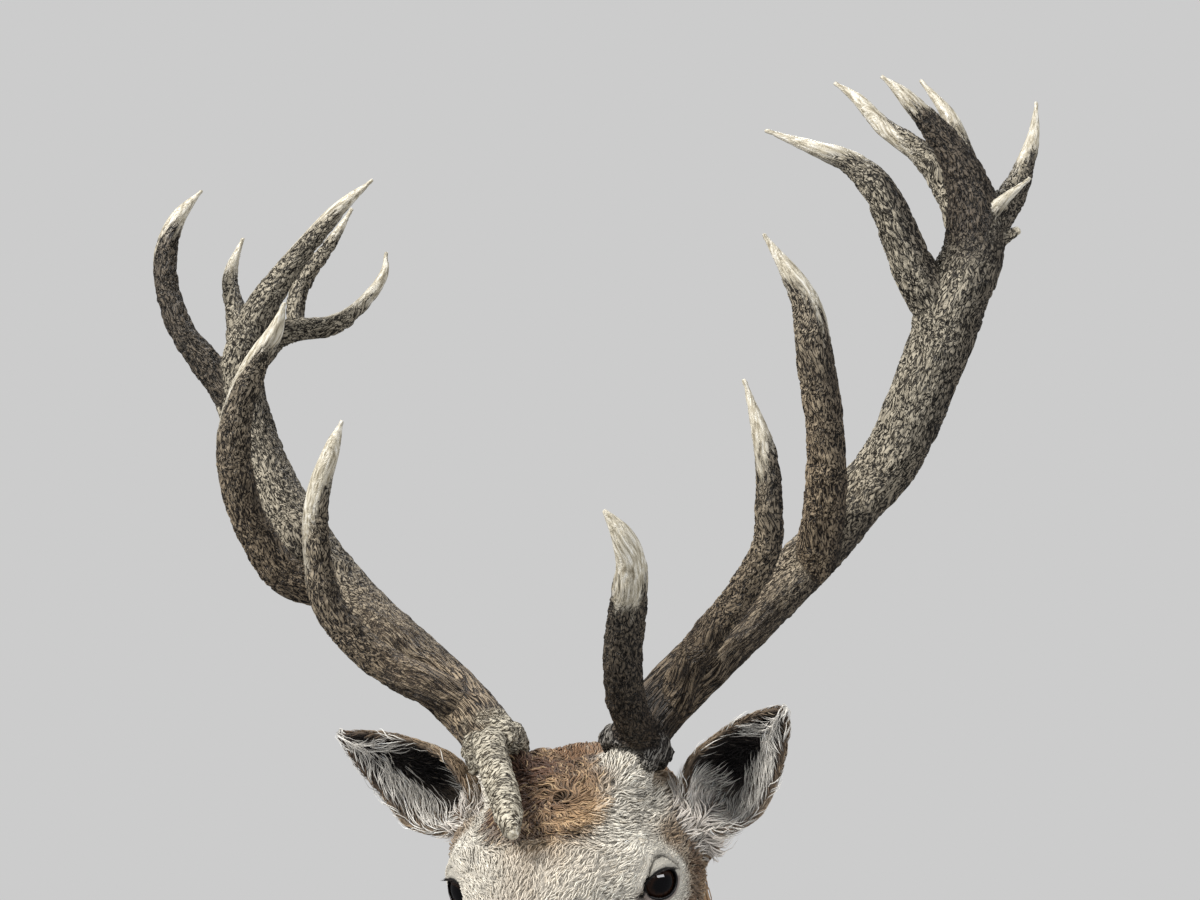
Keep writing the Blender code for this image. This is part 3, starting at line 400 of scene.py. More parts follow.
def lattice(cells, seed):
    """A repeatable random number for each whole-number cell."""
    cells = cells.astype(np.int64)
    x, y, z = (cells[..., k] for k in range(3))
    mixed = x * 73856093 ^ y * 19349663 ^ z * 83492791 ^ (seed * 2654435761)
    mixed = (mixed ^ (mixed >> 13)) * 1274126177
    mixed = mixed ^ (mixed >> 16)
    return (mixed & 0xFFFFFF) / 0xFFFFFF


def cloud(points, size, seed=0):
    """Smooth random values from 0 to 1 with bumps about size across."""
    p = np.asarray(points, float) / size
    base = np.floor(p)
    t = p - base
    t = t * t * (3 - 2 * t)
    total = 0.0
    for corner in itertools.product((0, 1), repeat=3):
        total = total + np.where(corner, t, 1 - t).prod(1) * lattice(base + corner, seed)
    return total


def rolling(points, size, seed=0):
    """Smooth hills and hollows from about -0.7 to 0.7, about size across, that follow no grid."""
    p = np.asarray(points, float) / size
    base = np.floor(p)
    t = p - base
    ease = t * t * t * (t * (t * 6 - 15) + 10)
    total = 0.0
    for corner in itertools.product((0, 1), repeat=3):
        slope = np.stack([lattice(base + corner, seed + k) for k in (1, 2, 3)], 1) * 2 - 1
        weight = np.where(corner, ease, 1 - ease).prod(1)
        total = total + weight * ((t - corner) * slope).sum(1)
    return total


def from_segment(points, start, end):
    """How far points lie from a straight line between two places, and their share of the way along it."""
    start, way = np.array(start, float), np.array(end, float) - np.array(start, float)
    share = np.clip(((points - start) @ way) / (way @ way), 0, 1)
    return np.linalg.norm(points - start - share[:, None] * way, axis=1), share


def new_object(name, mesh):
    """A new object of the scene, with its mesh, camera or lamp data."""
    obj = bpy.data.objects.new(name, mesh)
    bpy.context.scene.collection.objects.link(obj)
    return obj


def read_out(items, name, width=1, kind=float):
    """One property of every item of a mesh, as rows of width numbers."""
    found = np.empty(len(items) * width, kind)
    items.foreach_get(name, found)
    return found.reshape(-1, width) if width > 1 else found


def points_of(mesh):
    return read_out(mesh.vertices, "co", 3)


def normals_of(mesh):
    return read_out(mesh.vertices, "normal", 3)


def move_points(mesh, points):
    mesh.vertices.foreach_set("co", np.asarray(points, float).ravel())
    mesh.update()


def placed(matrix, points):
    """Points moved by a matrix."""
    m = np.array(matrix)
    return np.asarray(points) @ m[:3, :3].T + m[:3, 3]


def turned(matrix, vectors):
    """Directions turned by a matrix."""
    return np.asarray(vectors) @ np.array(matrix)[:3, :3].T


def moved(matrix, body):
    """A body's points and faces, its points moved by a matrix."""
    points, faces = body
    return placed(matrix, points), faces


def mesh_of(name, points, faces):
    mesh = bpy.data.meshes.new(name)
    mesh.from_pydata([tuple(p) for p in points], [], [tuple(f) for f in faces])
    return mesh


def closed_rows(rows, ring=False):
    """Points and faces of a closed body through loops of points, with flat ends or joined up to a ring."""
    count, sides = rows.shape[:2]
    faces = []
    for i, k in itertools.product(range(count if ring else count - 1), range(sides)):
        ahead, after = (i + 1) % count, (k + 1) % sides
        faces.append((i * sides + k, i * sides + after, ahead * sides + after, ahead * sides + k))
    if not ring:
        faces.append(tuple(range(sides))[::-1])
        faces.append(tuple(range((count - 1) * sides, count * sides)))
    return rows.reshape(-1, 3), faces


def circle(sides):
    """Angles once round, in even steps."""
    return np.linspace(0, 2 * math.pi, sides, endpoint=False)


def rings_round(line, across, up, sides):
    """Rings of points round rows of x, y, z and radius, by two cross directions."""
    turn = circle(sides)[:, None]
    out = across[:, None] * np.cos(turn) + up[:, None] * np.sin(turn)
    return line[:, None, :3] + line[:, None, 3:4] * out


def ball(radius, rings, sides, dome=0.0):
    """Points and faces of a closed ball whose front, towards +Z, stands out by a share of its radius."""
    turn = circle(sides)
    rows = []
    for i in range(1, rings):
        tilt = math.pi * i / rings
        far = radius * (1 + dome * math.exp(-((tilt / 0.55) ** 2)))
        rows.append(np.stack([far * math.sin(tilt) * np.cos(turn), far * math.sin(tilt) * np.sin(turn),
                              np.full(sides, far * math.cos(tilt))], 1))
    return closed_rows(np.array(rows))


def turn_outward(mesh):
    """Turns a closed mesh's faces to look outward."""
    bm = bmesh.new()
    bm.from_mesh(mesh)
    bmesh.ops.recalc_face_normals(bm, faces=bm.faces)
    bm.to_mesh(mesh)
    bm.free()
    return mesh


def finished(obj, material, slot_name, *replaced):
    """Gives a piece its material and says what it rides on and the nodes that it stands for; its slot name is
    not used.
    """
    obj.data.shade_smooth()
    obj.data.materials.clear()
    obj.data.materials.append(material)
    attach(obj, "root")
    if replaced:
        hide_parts(*replaced)
    return obj


def applied(obj):
    """Replaces the object's mesh by what its modifiers make of it."""
    graph = bpy.context.evaluated_depsgraph_get()
    mesh = bpy.data.meshes.new_from_object(obj.evaluated_get(graph))
    obj.modifiers.clear()
    obj.data = mesh
    return obj


def fused(name, bodies, voxel, smoothing):
    """One skin over closed bodies that overlap, given as points and faces."""
    points, faces = [], []
    shift = 0
    for body_points, body_faces in bodies:
        mesh = turn_outward(mesh_of("body", body_points, body_faces))
        points.append(points_of(mesh))
        faces += [tuple(v + shift for v in p.vertices) for p in mesh.polygons]
        shift += len(mesh.vertices)
        bpy.data.meshes.remove(mesh)
    obj = new_object(name, mesh_of(name, np.vstack(points), faces))
    remesh = obj.modifiers.new("skin", "REMESH")
    remesh.mode = "VOXEL"
    remesh.voxel_size = voxel
    smooth = obj.modifiers.new("smooth", "SMOOTH")
    smooth.factor = 0.5
    smooth.iterations = smoothing
    return applied(obj)


def parallel_frames(line):
    """Tangents and two cross directions along a line, turning no more than the line does."""
    along = unit(np.gradient(line[:, :3], axis=0))
    across = np.zeros_like(along)
    start = np.cross(along[0], (0.0, 0.0, 1.0))
    if np.linalg.norm(start) < 0.1:
        start = np.cross(along[0], (1.0, 0.0, 0.0))
    across[0] = start / np.linalg.norm(start)
    for i in range(1, len(line)):
        step = across[i - 1] - along[i] * np.dot(across[i - 1], along[i])
        across[i] = step / np.linalg.norm(step)
    return along, across, np.cross(along, across)


def round_tube(line, sides=20):
    """Points and faces of a closed tube along rows of x, y, z and radius."""
    line = np.asarray(line, float)
    _, across, up = parallel_frames(line)
    return closed_rows(rings_round(line, across, up, sides))


def catmull_rom(rows, between):
    """A smooth curve from the second to the last but one of rows of numbers, with steps between them."""
    fine = []
    for i in range(1, len(rows) - 2):
        a, b, c, d = rows[i - 1:i + 3]
        for t in np.linspace(0, 1, between, endpoint=False):
            fine.append(0.5 * (2 * b + (c - a) * t + (2 * a - 5 * b + 4 * c - d) * t**2
                               + (3 * b - a - 3 * c + d) * t**3))
    return fine


def travel_of(line):
    """How far each point of a line is along it."""
    return np.concatenate([[0], np.cumsum(np.linalg.norm(np.diff(line[:, :3], axis=0), axis=1))])


def read_off(line, travel, wanted):
    """A line's rows of numbers at wanted places along it."""
    return np.stack([np.interp(wanted, travel, column) for column in line.T], 1)


def smooth_line(points, step):
    """A smooth curve through rows of numbers, read off about every step along its first three columns."""
    rows = np.array(points, float)
    rows = np.vstack([2 * rows[0] - rows[1], rows, 2 * rows[-1] - rows[-2]])
    fine = np.array(catmull_rom(rows, between=24) + [rows[-2]])
    travel = travel_of(fine)
    count = max(3, round(travel[-1] / step) + 1)
    return read_off(fine, travel, np.linspace(0, travel[-1], count))


def limb_line(points):
    """A limb's centre line and radius in metres, in short steps, made up for what its facets lose."""
    line = smooth_line(np.array(points, float) * MM * (1, 1, 1, FACET_LOSS), LIMB_STEP)
    line[:, 3] = np.maximum(line[:, 3], TIP_RADIUS)
    return line


def section_at(ahead):
    """The head's section numbers at a place along the face line, in metres."""
    table = np.array(FACE_SECTIONS, float) * MM
    stations = table[:, 0]
    i = int(np.clip(np.searchsorted(stations, ahead) - 1, 0, len(stations) - 2))
    before = table[max(i - 1, 0)]
    after = table[min(i + 2, len(table) - 1)]
    low, high = table[i], table[i + 1]
    span = high[0] - low[0]
    t = (ahead - low[0]) / span
    slope_low = (high - before) / (high[0] - before[0]) * span
    slope_high = (after - low) / (after[0] - low[0]) * span
    return ((2 * t**3 - 3 * t**2 + 1) * low + (t**3 - 2 * t**2 + t) * slope_low
            + (-2 * t**3 + 3 * t**2) * high + (t**3 - t**2) * slope_high)


def head_ring(ahead, sides):
    """The head's outline at a place along the face line, as x and z, from its top round by its left side."""
    _, top, under, *widths = section_at(ahead)
    flat, drop = CROWN_FLAT
    side = [(widths[0] * flat, top + (under - top) * drop)]
    side += [(width, top + (under - top) * share) for width, share in zip(widths, HEIGHT_SHARES)]
    loop = np.array([(0, top)] + side + [(0, under)] + [(-x, z) for x, z in reversed(side)])
    fine = catmull_rom(np.vstack([loop[-1:], loop, loop[:2]]), between=16)
    fine = np.array(fine + [fine[0]])
    travel = travel_of(fine)
    return read_off(fine, travel, np.linspace(0, travel[-1], sides, endpoint=False))


def cut_shift(ahead, height):
    """How far ahead of its station a point of the head's back lies, where sections tilt to the neck's cut."""
    back = FACE_SECTIONS[0][0] * MM
    share = np.clip(ahead / back, 0, 1) ** 1.5
    return NECK_CUT_TILT * share * (NECK_CUT_LEVEL - height)


def tangent_at(line, place):
    """The way that a limb's line runs at a place along it."""
    low, high = read_off(line[:, :3], travel_of(line), (place - LIMB_STEP, place + LIMB_STEP))
    return (high - low) / np.linalg.norm(high - low)


def arc(centre, radius, start, end, count):
    """Points round a centre, as x and z, from one angle to another in degrees from straight up."""
    angles = [math.radians(start + (end - start) * k / (count - 1)) for k in range(count)]
    return [(centre[0] + radius * math.sin(a), centre[1] + radius * math.cos(a)) for a in angles]


def board_outline(inset):
    """The board's shield outline as x and z: an arched top, notched shoulders and a pointed foot."""
    half_wide = BOARD_WIDTH / 2 - inset
    top = BOARD_HEIGHT / 2 - inset
    shoulder = top - SHOULDER_DROP
    reach = half_wide - NOTCH_RADIUS
    rise = SHOULDER_DROP - NOTCH_RADIUS
    half = [(reach * k / 5, top - rise * (k / 5) ** 2) for k in range(6)]
    half += arc((half_wide, shoulder + NOTCH_RADIUS), NOTCH_RADIUS, -90, -180, 5)[1:]
    side_start = shoulder - NOTCH_RADIUS
    half.append((half_wide, side_start))
    for k in range(1, 13):
        t = k / 12
        drop = FOOT_POINT * t + (1 - FOOT_POINT) * math.sin(t * math.pi / 2)
        half.append((half_wide * (1 - t**SIDE_FULLNESS), side_start + (-top - side_start) * drop))
    return half + [(-x, z) for x, z in reversed(half[1:-1])]


def antler_limbs(side):
    """Every limb of one antler, its beam first: its name, and its points and radius every 2 mm."""
    beam, tines, spurs = ANTLERS[side]
    limbs = [("beam", beam), *tines, *((f"spur_{k}", points) for k, points in enumerate(spurs))]
    return [(name, limb_line(points)) for name, points in limbs]


def small_ball(centre, radius):
    """A coarse ball's points and faces, for the pearls and knobs."""
    points, faces = ball(radius, 6, 10)
    return points + np.asarray(centre), faces


def square_to(way, along):
    """A direction turned square to a limb, as a unit vector."""
    way = np.array(way, float)
    way = way - along * (way @ along)
    return way / np.linalg.norm(way)


def burr_bodies(line, seed, malformed):
    """The coronet: a ring round the antler's foot, set with rows of small beads, or swollen and knobbed."""
    along, across, up = parallel_frames(line)
    foot, radius = line[4, :3], line[0, 3]
    half_out, half_high, lift = (0.0052, 0.0130, 0.007) if malformed else (0.0050, 0.0078, 0.001)
    draw = np.random.default_rng(seed)
    around, sides = 90, 14
    turn = circle(sides)[:, None]
    outs = [across[4] * math.cos(a) + up[4] * math.sin(a) for a in circle(around)]
    uneven = 1 + 0.16 * np.sin(np.arange(around) * 0.31 + 1.0) + 0.10 * np.sin(np.arange(around) * 0.83)
    rows = [foot + along[4] * lift + out * radius * 1.01
            + size * (out * half_out * np.cos(turn) + along[4] * half_high * np.sin(turn))
            for out, size in zip(outs, uneven)]
    bodies = [closed_rows(np.array(rows), ring=True)]
    if malformed:
        for place, way, size in KNOBS:
            i = round(place / LIMB_STEP)
            bodies.append(small_ball(line[i, :3] + square_to(way, along[i]) * line[i, 3] * 1.02, size))
        return bodies
    bead_rows, bead_count = 4, 26
    for row, k in itertools.product(range(bead_rows), range(bead_count)):
        angle = 2 * math.pi * (k + 0.5 * (row % 2) + draw.uniform(-0.3, 0.3)) / bead_count
        out = across[4] * math.cos(angle) + up[4] * math.sin(angle)
        level = (row - 1.4) * 0.0046 + draw.uniform(-0.0012, 0.0012)
        reach = radius + half_out * (0.95 - 0.35 * abs(row - 1.2)) + draw.uniform(-0.0012, 0.0012)
        bodies.append(small_ball(foot + along[4] * level + out * reach, draw.uniform(0.0024, 0.0037)))
    # A lump low on the coronet's outer front
    out = square_to((0.85, -0.52, 0.0), along[0])
    bodies.append(small_ball(line[0, :3] - along[0] * 0.002 + out * radius * 0.92, 0.0090))
    return bodies


def nearest_on_limbs(points, limbs):
    """For each point, its limb's number, its offset from and place along that limb, and the limb's length."""
    centres = np.vstack([line[:, :3] for _, line in limbs])
    radii = np.concatenate([line[:, 3] for _, line in limbs])
    limb_of = np.repeat(np.arange(len(limbs)), [len(line) for _, line in limbs])
    travels = [travel_of(line) for _, line in limbs]
    travel = np.concatenate(travels)
    length = np.array([one[-1] for one in travels])[limb_of]
    frames = [parallel_frames(line) for _, line in limbs]
    along, across, up = (np.vstack([f[k] for f in frames]) for k in range(3))
    tree = KDTree(len(centres))
    for k, centre in enumerate(centres):
        tree.insert(centre, k)
    tree.balance()
    found = np.empty(len(points), int)
    for k, point in enumerate(points.tolist()):
        near = tree.find_n(point, 24)
        found[k] = min(near, key=lambda hit: hit[2] - radii[hit[1]])[1]
    offset = points - centres[found]
    place = travel[found] + (offset * along[found]).sum(1)
    local = np.stack([(offset * across[found]).sum(1), (offset * up[found]).sum(1), place], 1)
    return limb_of[found], local, np.clip(place, 0, length[found]), length[found]


def ridges(points, size, seed):
    """Values from 0 in the grooves to 1 on the ridges of a fine relief."""
    return ramp(-0.22, 0.22, rolling(points, size, seed))


def antler_surface(obj, limbs, side):
    """Raises ridges and pearls on an antler and writes what its material needs."""
    mesh = obj.data
    points, normals = points_of(mesh), normals_of(mesh)
    limb, local, travel, length = nearest_on_limbs(points, limbs)
    malformed = side == "right"
    from_tip = (length - travel) / length
    bend = rolling(points, 0.03, 5) * 0.008
    wander = local + np.stack([bend, -bend, 2 * bend], 1)
    names = np.array([name for name, _ in limbs])[limb]
    beam, brow, bez, trez = (names == name for name in ("beam", "brow", "bez", "trez"))
    # Bare ivory towards the tips
    reach = np.zeros(len(points))
    for name, (share, more, way) in IVORY[side].items():
        faces = np.clip(normals @ (np.array(way, float) / np.linalg.norm(way)), 0, 1)
        reach = np.where(names == name, share + more * faces, reach)
    streak = rolling(wander * (1, 1, 0.10), 0.004, 61)
    ivory = ramp(1.55, 0.50, from_tip / np.maximum(reach, 0.01) + 0.30 * streak)
    # Ridges that wander, run lengthwise on the trunk's lower part and run round the swollen foot
    worms = ridges(wander * (1, 1, 0.46), RELIEF_WIDE, 11)
    furrows = ridges(wander * (1, 1, 0.13), RELIEF_WIDE, 12)
    wrinkles = ridges(wander * (0.36, 0.36, 1.0), 0.0019, 41)
    lengthwise = ramp(0.25, 0.05, travel) * beam + 0.8 * ramp(0.12, 0.02, travel) * bez
    lengthwise = np.clip(lengthwise + 0.4 * rolling(points, 0.04, 9), 0, 1)
    foot = np.zeros(len(points))
    if malformed:
        foot = ramp(0.040, 0.022, travel + 0.02 * rolling(points, 0.012, 17)) * beam
        foot = np.maximum(foot, ramp(1.0, 0.9, travel / 0.20) * brow)
    relief = mix(mix(worms, furrows, lengthwise), wrinkles, foot)
    rough = (1 - 0.88 * ivory) * (0.75 + 0.5 * cloud(points, 0.02, 7))
    high = (relief - 0.5) * RELIEF_HIGH * (1 - 0.25 * foot) * rough
    high += rolling(points, 0.013, 13) * UNEVEN_HIGH * (1 - 0.8 * ivory)
    move_points(mesh, points + normals * high[:, None])
    # Warm lower parts, the pale knob and nub of the swollen foot, dark stains, and painted shade on the sides
    # that face the stag's left, away from the key lamp
    warm = ramp(0.36, 0.05, travel) * (beam | bez | trez) + 0.6 * ramp(0.14, 0.02, travel) * brow
    nub = np.zeros(len(points))
    if malformed:
        line = limbs[0][1][round(NUB_PLACE / LIMB_STEP)]
        white = line[:3] + np.array(NUB_WAY) * line[3]
        tip = limbs[1][1][-1, :3]
        nub = 0.6 * ramp(0.011, 0.004, np.linalg.norm(points - tip, axis=1))
        nub = np.maximum(nub, ramp(0.0050, 0.0034, np.linalg.norm(points - white, axis=1)))
    stain_and_shade = np.zeros(len(points))
    for name, (near, far, reach_of, tip_stain) in DIMNESS[side].items():
        stain = far + (near - far) * ramp(reach_of, 0.2 * reach_of, travel)
        stain = np.maximum(stain, tip_stain * ramp(0.30, 0.22, from_tip))
        stain_and_shade = np.where(names == name, stain, stain_and_shade)
    # Painted shade: faces turned to the stag's left, away from the key lamp, are darkened along with the stains
    outer = normals[:, 0] if side == "left" else 0.7 * normals[:, 0]
    stain_and_shade = np.maximum(stain_and_shade, 0.75 * ramp(0.10, 0.90, outer))
    burr = ramp(0.030, 0.014, travel) * beam * (not malformed)
    for name, values in (("relief", relief), ("stain_and_shade", stain_and_shade), ("ivory", np.maximum(ivory, nub)), ("warm", warm),
                         ("foot", foot), ("lengthwise", lengthwise), ("burr", burr)):
        write_values(mesh, name, np.clip(values, 0, 1))
    attribute = mesh.attributes.new("limb_place", "FLOAT_VECTOR", "POINT")
    attribute.data.foreach_set("vector", wander.astype(np.float32).ravel())


def write_values(mesh, name, values):
    attribute = mesh.attributes.new(name, "FLOAT", "POINT")
    attribute.data.foreach_set("value", np.asarray(values, np.float32))


def write_colours(mesh, name, colours):
    attribute = mesh.attributes.new(name, "FLOAT_COLOR", "POINT")
    rows = np.ones((len(colours), 4), np.float32)
    rows[:, :3] = colours
    attribute.data.foreach_set("color", rows.ravel())


def write_bake_map(mesh, places):
    bake = mesh.uv_layers.new(name="OFBake")
    bake.data.foreach_set("uv", places.astype(np.float32).ravel())


def antler_piece(side, material):
    """One antler's limbs and coronet as one continuous surface."""
    limbs = antler_limbs(side)
    bodies = [round_tube(line) for _, line in limbs] + burr_bodies(limbs[0][1], 4, side == "right")
    obj = fused(f"antler_{side}", bodies, ANTLER_VOXEL, 2)
    antler_surface(obj, limbs, side)
    obj.data.transform(STAG)
    names = ["base", "beam", "crown", "crown_main"] + [name for name, _ in ANTLERS[side][1]]
    return finished(obj, material, "antler", *[f"antler_{side}_{name}" for name in names])


class Nodes:
    """A short way to write a material's nodes."""

    def __init__(self, name):
        self.material = bpy.data.materials.new(name)
        self.material.use_nodes = True
        self.tree = self.material.node_tree
        self.shader = self.tree.nodes["Principled BSDF"]

    def add(self, kind, inputs=None, **settings):
        node = self.tree.nodes.new(kind)
        for key, value in settings.items():
            setattr(node, key, value)
        for key, value in (inputs or {}).items():
            self.feed(node.inputs[key], value)
        return node

    def feed(self, socket, value):
        if isinstance(value, bpy.types.NodeSocket):
            self.tree.links.new(value, socket)
        else:
            socket.default_value = value

    def attribute(self, name, output="Fac"):
        return self.add("ShaderNodeAttribute", attribute_name=name).outputs[output]

    def noise(self, scale, detail=3.0, vector=None, roughness=0.5, distortion=0.0):
        node = self.add("ShaderNodeTexNoise", {"Scale": scale, "Detail": detail, "Roughness": roughness,
                                               "Distortion": distortion})
        self.feed(node.inputs["Vector"], vector or self.place())
        return node.outputs["Fac"]

    def place(self, stretch=(1, 1, 1)):
        mapping = self.add("ShaderNodeMapping", {"Vector": self.add("ShaderNodeTexCoord").outputs["Object"],
                                                 "Scale": stretch})
        return mapping.outputs["Vector"]

    def math(self, operation, a, b=0.0):
        return self.add("ShaderNodeMath", {0: a, 1: b}, operation=operation).outputs[0]

    def weighed(self, *parts):
        """The sum of values, each times its weight."""
        total = None
        for value, weight in parts:
            part = self.math("MULTIPLY", value, weight)
            total = part if total is None else self.math("ADD", total, part)
        return total

    def stretched(self, vector, scale):
        return self.add("ShaderNodeMapping", {"Vector": vector, "Scale": scale}).outputs["Vector"]

    def between(self, share, a, b):
        """The number a, or b where share is 1."""
        return self.add("ShaderNodeMix", {0: share, 2: a, 3: b}, data_type="FLOAT").outputs[0]

    def blend(self, share, a, b, kind="MIX"):
        node = self.add("ShaderNodeMix", data_type="RGBA", blend_type=kind)
        self.feed(node.inputs[0], share)
        for slot_number, value in ((6, a), (7, b)):
            if not isinstance(value, bpy.types.NodeSocket):
                value = (*value, 1.0) if len(value) == 3 else value
            self.feed(node.inputs[slot_number], value)
        return node.outputs[2]

    def curve(self, value, *stops):
        """A colour ramp through places and colours as they look on a screen."""
        node = self.add("ShaderNodeValToRGB", {"Fac": value})
        marks = node.color_ramp.elements
        while len(marks) < len(stops):
            marks.new(0.5)
        for mark, (place, colour) in zip(marks, stops):
            mark.position = place
            mark.color = (*linear(colour), 1.0)
        return node.outputs["Color"]

    def range(self, value, low, high, to_low=0.0, to_high=1.0):
        node = self.add("ShaderNodeMapRange", {"Value": value, "From Min": low, "From Max": high,
                                               "To Min": to_low, "To Max": to_high})
        return node.outputs["Result"]

    def bump(self, height, distance, strength=1.0):
        node = self.add("ShaderNodeBump", {"Height": height, "Distance": distance, "Strength": strength})
        return node.outputs["Normal"]

    def grooved(self, value, wide):
        """Grooves where a noise passes its middle, 0 at their bottom and 1 on the crests between them."""
        return self.range(self.math("ABSOLUTE", self.math("SUBTRACT", value, 0.5)), 0.0, wide)

    def finish(self, **sockets):
        for name, value in sockets.items():
            self.feed(self.shader.inputs[name.replace("_", " ")], value)
        return self.material


def antler_material():
    """Bone under pearls and furrows: dark in grooves, grey-brown on crests, ivory where it is worn."""
    n = Nodes("antler_bone")
    place = n.attribute("limb_place", "Vector")
    foot = n.attribute("foot")
    worms = n.grooved(n.noise(430.0, 1.0, n.stretched(place, (1, 1, 0.40)), 0.5, 0.8), 0.09)
    furrows = n.grooved(n.noise(460.0, 1.5, n.stretched(place, (1, 1, 0.11)), 0.5, 0.4), 0.09)
    wrinkles = n.grooved(n.noise(460.0, 1.0, n.stretched(place, (0.32, 0.32, 1.0)), 0.5, 0.9), 0.09)
    pattern = n.between(foot, n.between(n.attribute("lengthwise"), worms, furrows), wrinkles)
    relief = n.attribute("relief")
    grain = n.noise(1400.0, 3.0)
    height = n.weighed((pattern, 0.68), (relief, 0.18), (grain, 0.16))
    cold = n.curve(height, (0.15, (24, 20, 16)), (0.40, (66, 60, 51)),
                   (0.66, (122, 114, 98)), (0.92, (180, 171, 151)))
    warm = n.curve(height, (0.15, (22, 17, 12)), (0.40, (60, 49, 38)),
                   (0.66, (112, 95, 75)), (0.92, (168, 150, 123)))
    # Darkest bone, for the stains and for the painted shade on the sides away from the key lamp
    stained_and_shaded = n.curve(height, (0.15, (10, 7, 4)), (0.45, (26, 19, 13)),
                      (0.70, (44, 35, 26)), (0.95, (84, 71, 56)))
    horn = n.curve(height, (0.14, (26, 20, 14)), (0.38, (92, 81, 64)),
                   (0.62, (150, 140, 119)), (0.92, (208, 200, 180)))
    dark = n.curve(height, (0.15, (14, 12, 11)), (0.50, (40, 35, 32)),
                   (0.75, (88, 82, 76)), (0.98, (150, 146, 138)))
    colour = n.blend(n.attribute("warm"), cold, warm)
    colour = n.blend(n.attribute("stain_and_shade"), colour, stained_and_shaded)
    colour = n.blend(n.attribute("burr"), colour, dark)
    colour = n.blend(foot, colour, horn)
    shade = n.range(n.noise(16.0, 3.0), 0.42, 0.70, 0.0, 0.36)
    colour = n.blend(shade, colour, n.blend(0.55, colour, (0.012, 0.009, 0.008)))
    streak = n.noise(380.0, 2.0, n.stretched(place, (1, 1, 0.06)))
    reach = n.math("ADD", n.attribute("ivory"), n.math("MULTIPLY", n.math("SUBTRACT", streak, 0.5), 1.1))
    reach = n.math("ADD", reach, n.math("MULTIPLY", n.math("SUBTRACT", pattern, 0.5), 0.30))
    worn = n.range(reach, 0.36, 0.70)
    cracks = n.noise(520.0, 3.0, n.stretched(place, (1, 1, 0.16)))
    pale = n.curve(cracks, (0.30, (140, 130, 108)), (0.50, (202, 194, 174)), (0.72, (240, 236, 225)))
    # Worn bone is duller where it begins and palest at the tip
    dull = n.blend(0.55, pale, linear((112, 102, 84)))
    pale = n.blend(n.range(n.attribute("ivory"), 0.45, 1.0), dull, pale)
    colour = n.blend(worn, colour, pale)
    rough = n.range(worn, 0.0, 1.0, 0.58, 0.38)
    bumps = n.math("MULTIPLY", height, n.range(worn, 0.0, 1.0, 1.0, 0.14))
    return n.finish(Base_Color=colour, Roughness=rough, Normal=n.bump(bumps, 0.0034, 1.0))


def eye_basis(side):
    """An eye's frame in the face's frame: +Z looks out, +X runs back along the lids."""
    out = EYE_LOOKS[side].normalized()
    back = Vector((0.0, 1.0, EYE_TILT))
    back = (back - out * back.dot(out)).normalized()
    up = out.cross(back) * SIDES[side]
    return Matrix.Translation(EYE_CENTRES[side]) @ Matrix((back, up, out)).transposed().to_4x4()


def eye_frame(side):
    """An eye's frame in the world."""
    return FACE @ eye_basis(side)


def lid_line(angles, size, stand, corner=(0.0, 0.0)):
    """Places round the opening between an eye's lids, in the eye's frame, at a share of its size and a height
    above the eye's dome, and how far each counts to the inner corner, where the line is drawn out."""
    places, shares = [], []
    for angle in angles:
        inner = max(0.0, -math.cos(angle)) ** 10
        a, b = (value * size - drawn * inner for value, drawn in zip(almond(angle), corner))
        places.append((a, b, math.sqrt(max((DOME_RADIUS + stand) ** 2 - a * a - b * b, 1e-6))))
        shares.append(inner)
    return np.array(places), np.array(shares)


def almond(angle):
    """A point on the opening between the lids, across the eye's frame, at its full size."""
    half_long, half_high = EYE_OPENING
    high = math.sin(angle)
    high = 0.92 * high**0.72 if high > 0 else high
    return math.cos(angle) * half_long, high * half_high


def eyeball(side, material):
    """A glass eye with a slightly domed front."""
    points, faces = ball(EYE_RADIUS, 48, 64, dome=0.045)
    name = f"eyeball_{side}"
    obj = new_object(name, turn_outward(mesh_of(name, points, faces)))
    tilt = np.arccos(np.clip(points[:, 2] / np.linalg.norm(points, axis=1), -1, 1))
    along, upward, _ = points.T / EYE_RADIUS
    for measure, values in (("tilt", tilt), ("along", along), ("upward", upward)):
        write_values(obj.data, measure, values)
    obj.data.transform(eye_frame(side))
    turn_outward(obj.data)
    return finished(obj, material, "eye_glass", f"eye_{side}")


def eye_material():
    """Near-black glass: a wide dark pupil in a deep brown iris."""
    n = Nodes("eye_glass_dark")
    along = n.math("MULTIPLY", n.attribute("along"), 1.15)
    upward = n.math("MULTIPLY", n.attribute("upward"), 1.75)
    away = n.math("SQRT", n.math("ADD", n.math("MULTIPLY", along, along), n.math("MULTIPLY", upward, upward)))
    iris = n.curve(n.noise(600.0, 2.0), (0.3, (22, 13, 9)), (0.7, (44, 27, 17)))
    colour = n.blend(n.range(away, 0.50, 0.66), linear((5, 4, 5)), iris)
    colour = n.blend(n.range(n.attribute("tilt"), 0.80, 0.92), colour, linear((14, 10, 9)))
    n.shader.inputs["Specular IOR Level"].default_value = 0.60
    return n.finish(Base_Color=colour, Roughness=0.03)


def swelled(points, swells, sides=(1, -1)):
    """Moves points of the head round each swell's place by its push, and round the mirror image likewise."""
    for centre, reach, push in swells:
        for side in (sides if centre[0] else (1,)):
            mirror = np.array((side, 1, 1))
            share = np.exp(-(((points - centre * mirror) / reach) ** 2).sum(-1))
            points = points + share[..., None] * (push * mirror)
    return points


def grid_normals(grid):
    """Unit normals of a grid of points, by rows and columns."""
    return unit(np.cross(np.gradient(grid, axis=1), np.gradient(grid, axis=0)))


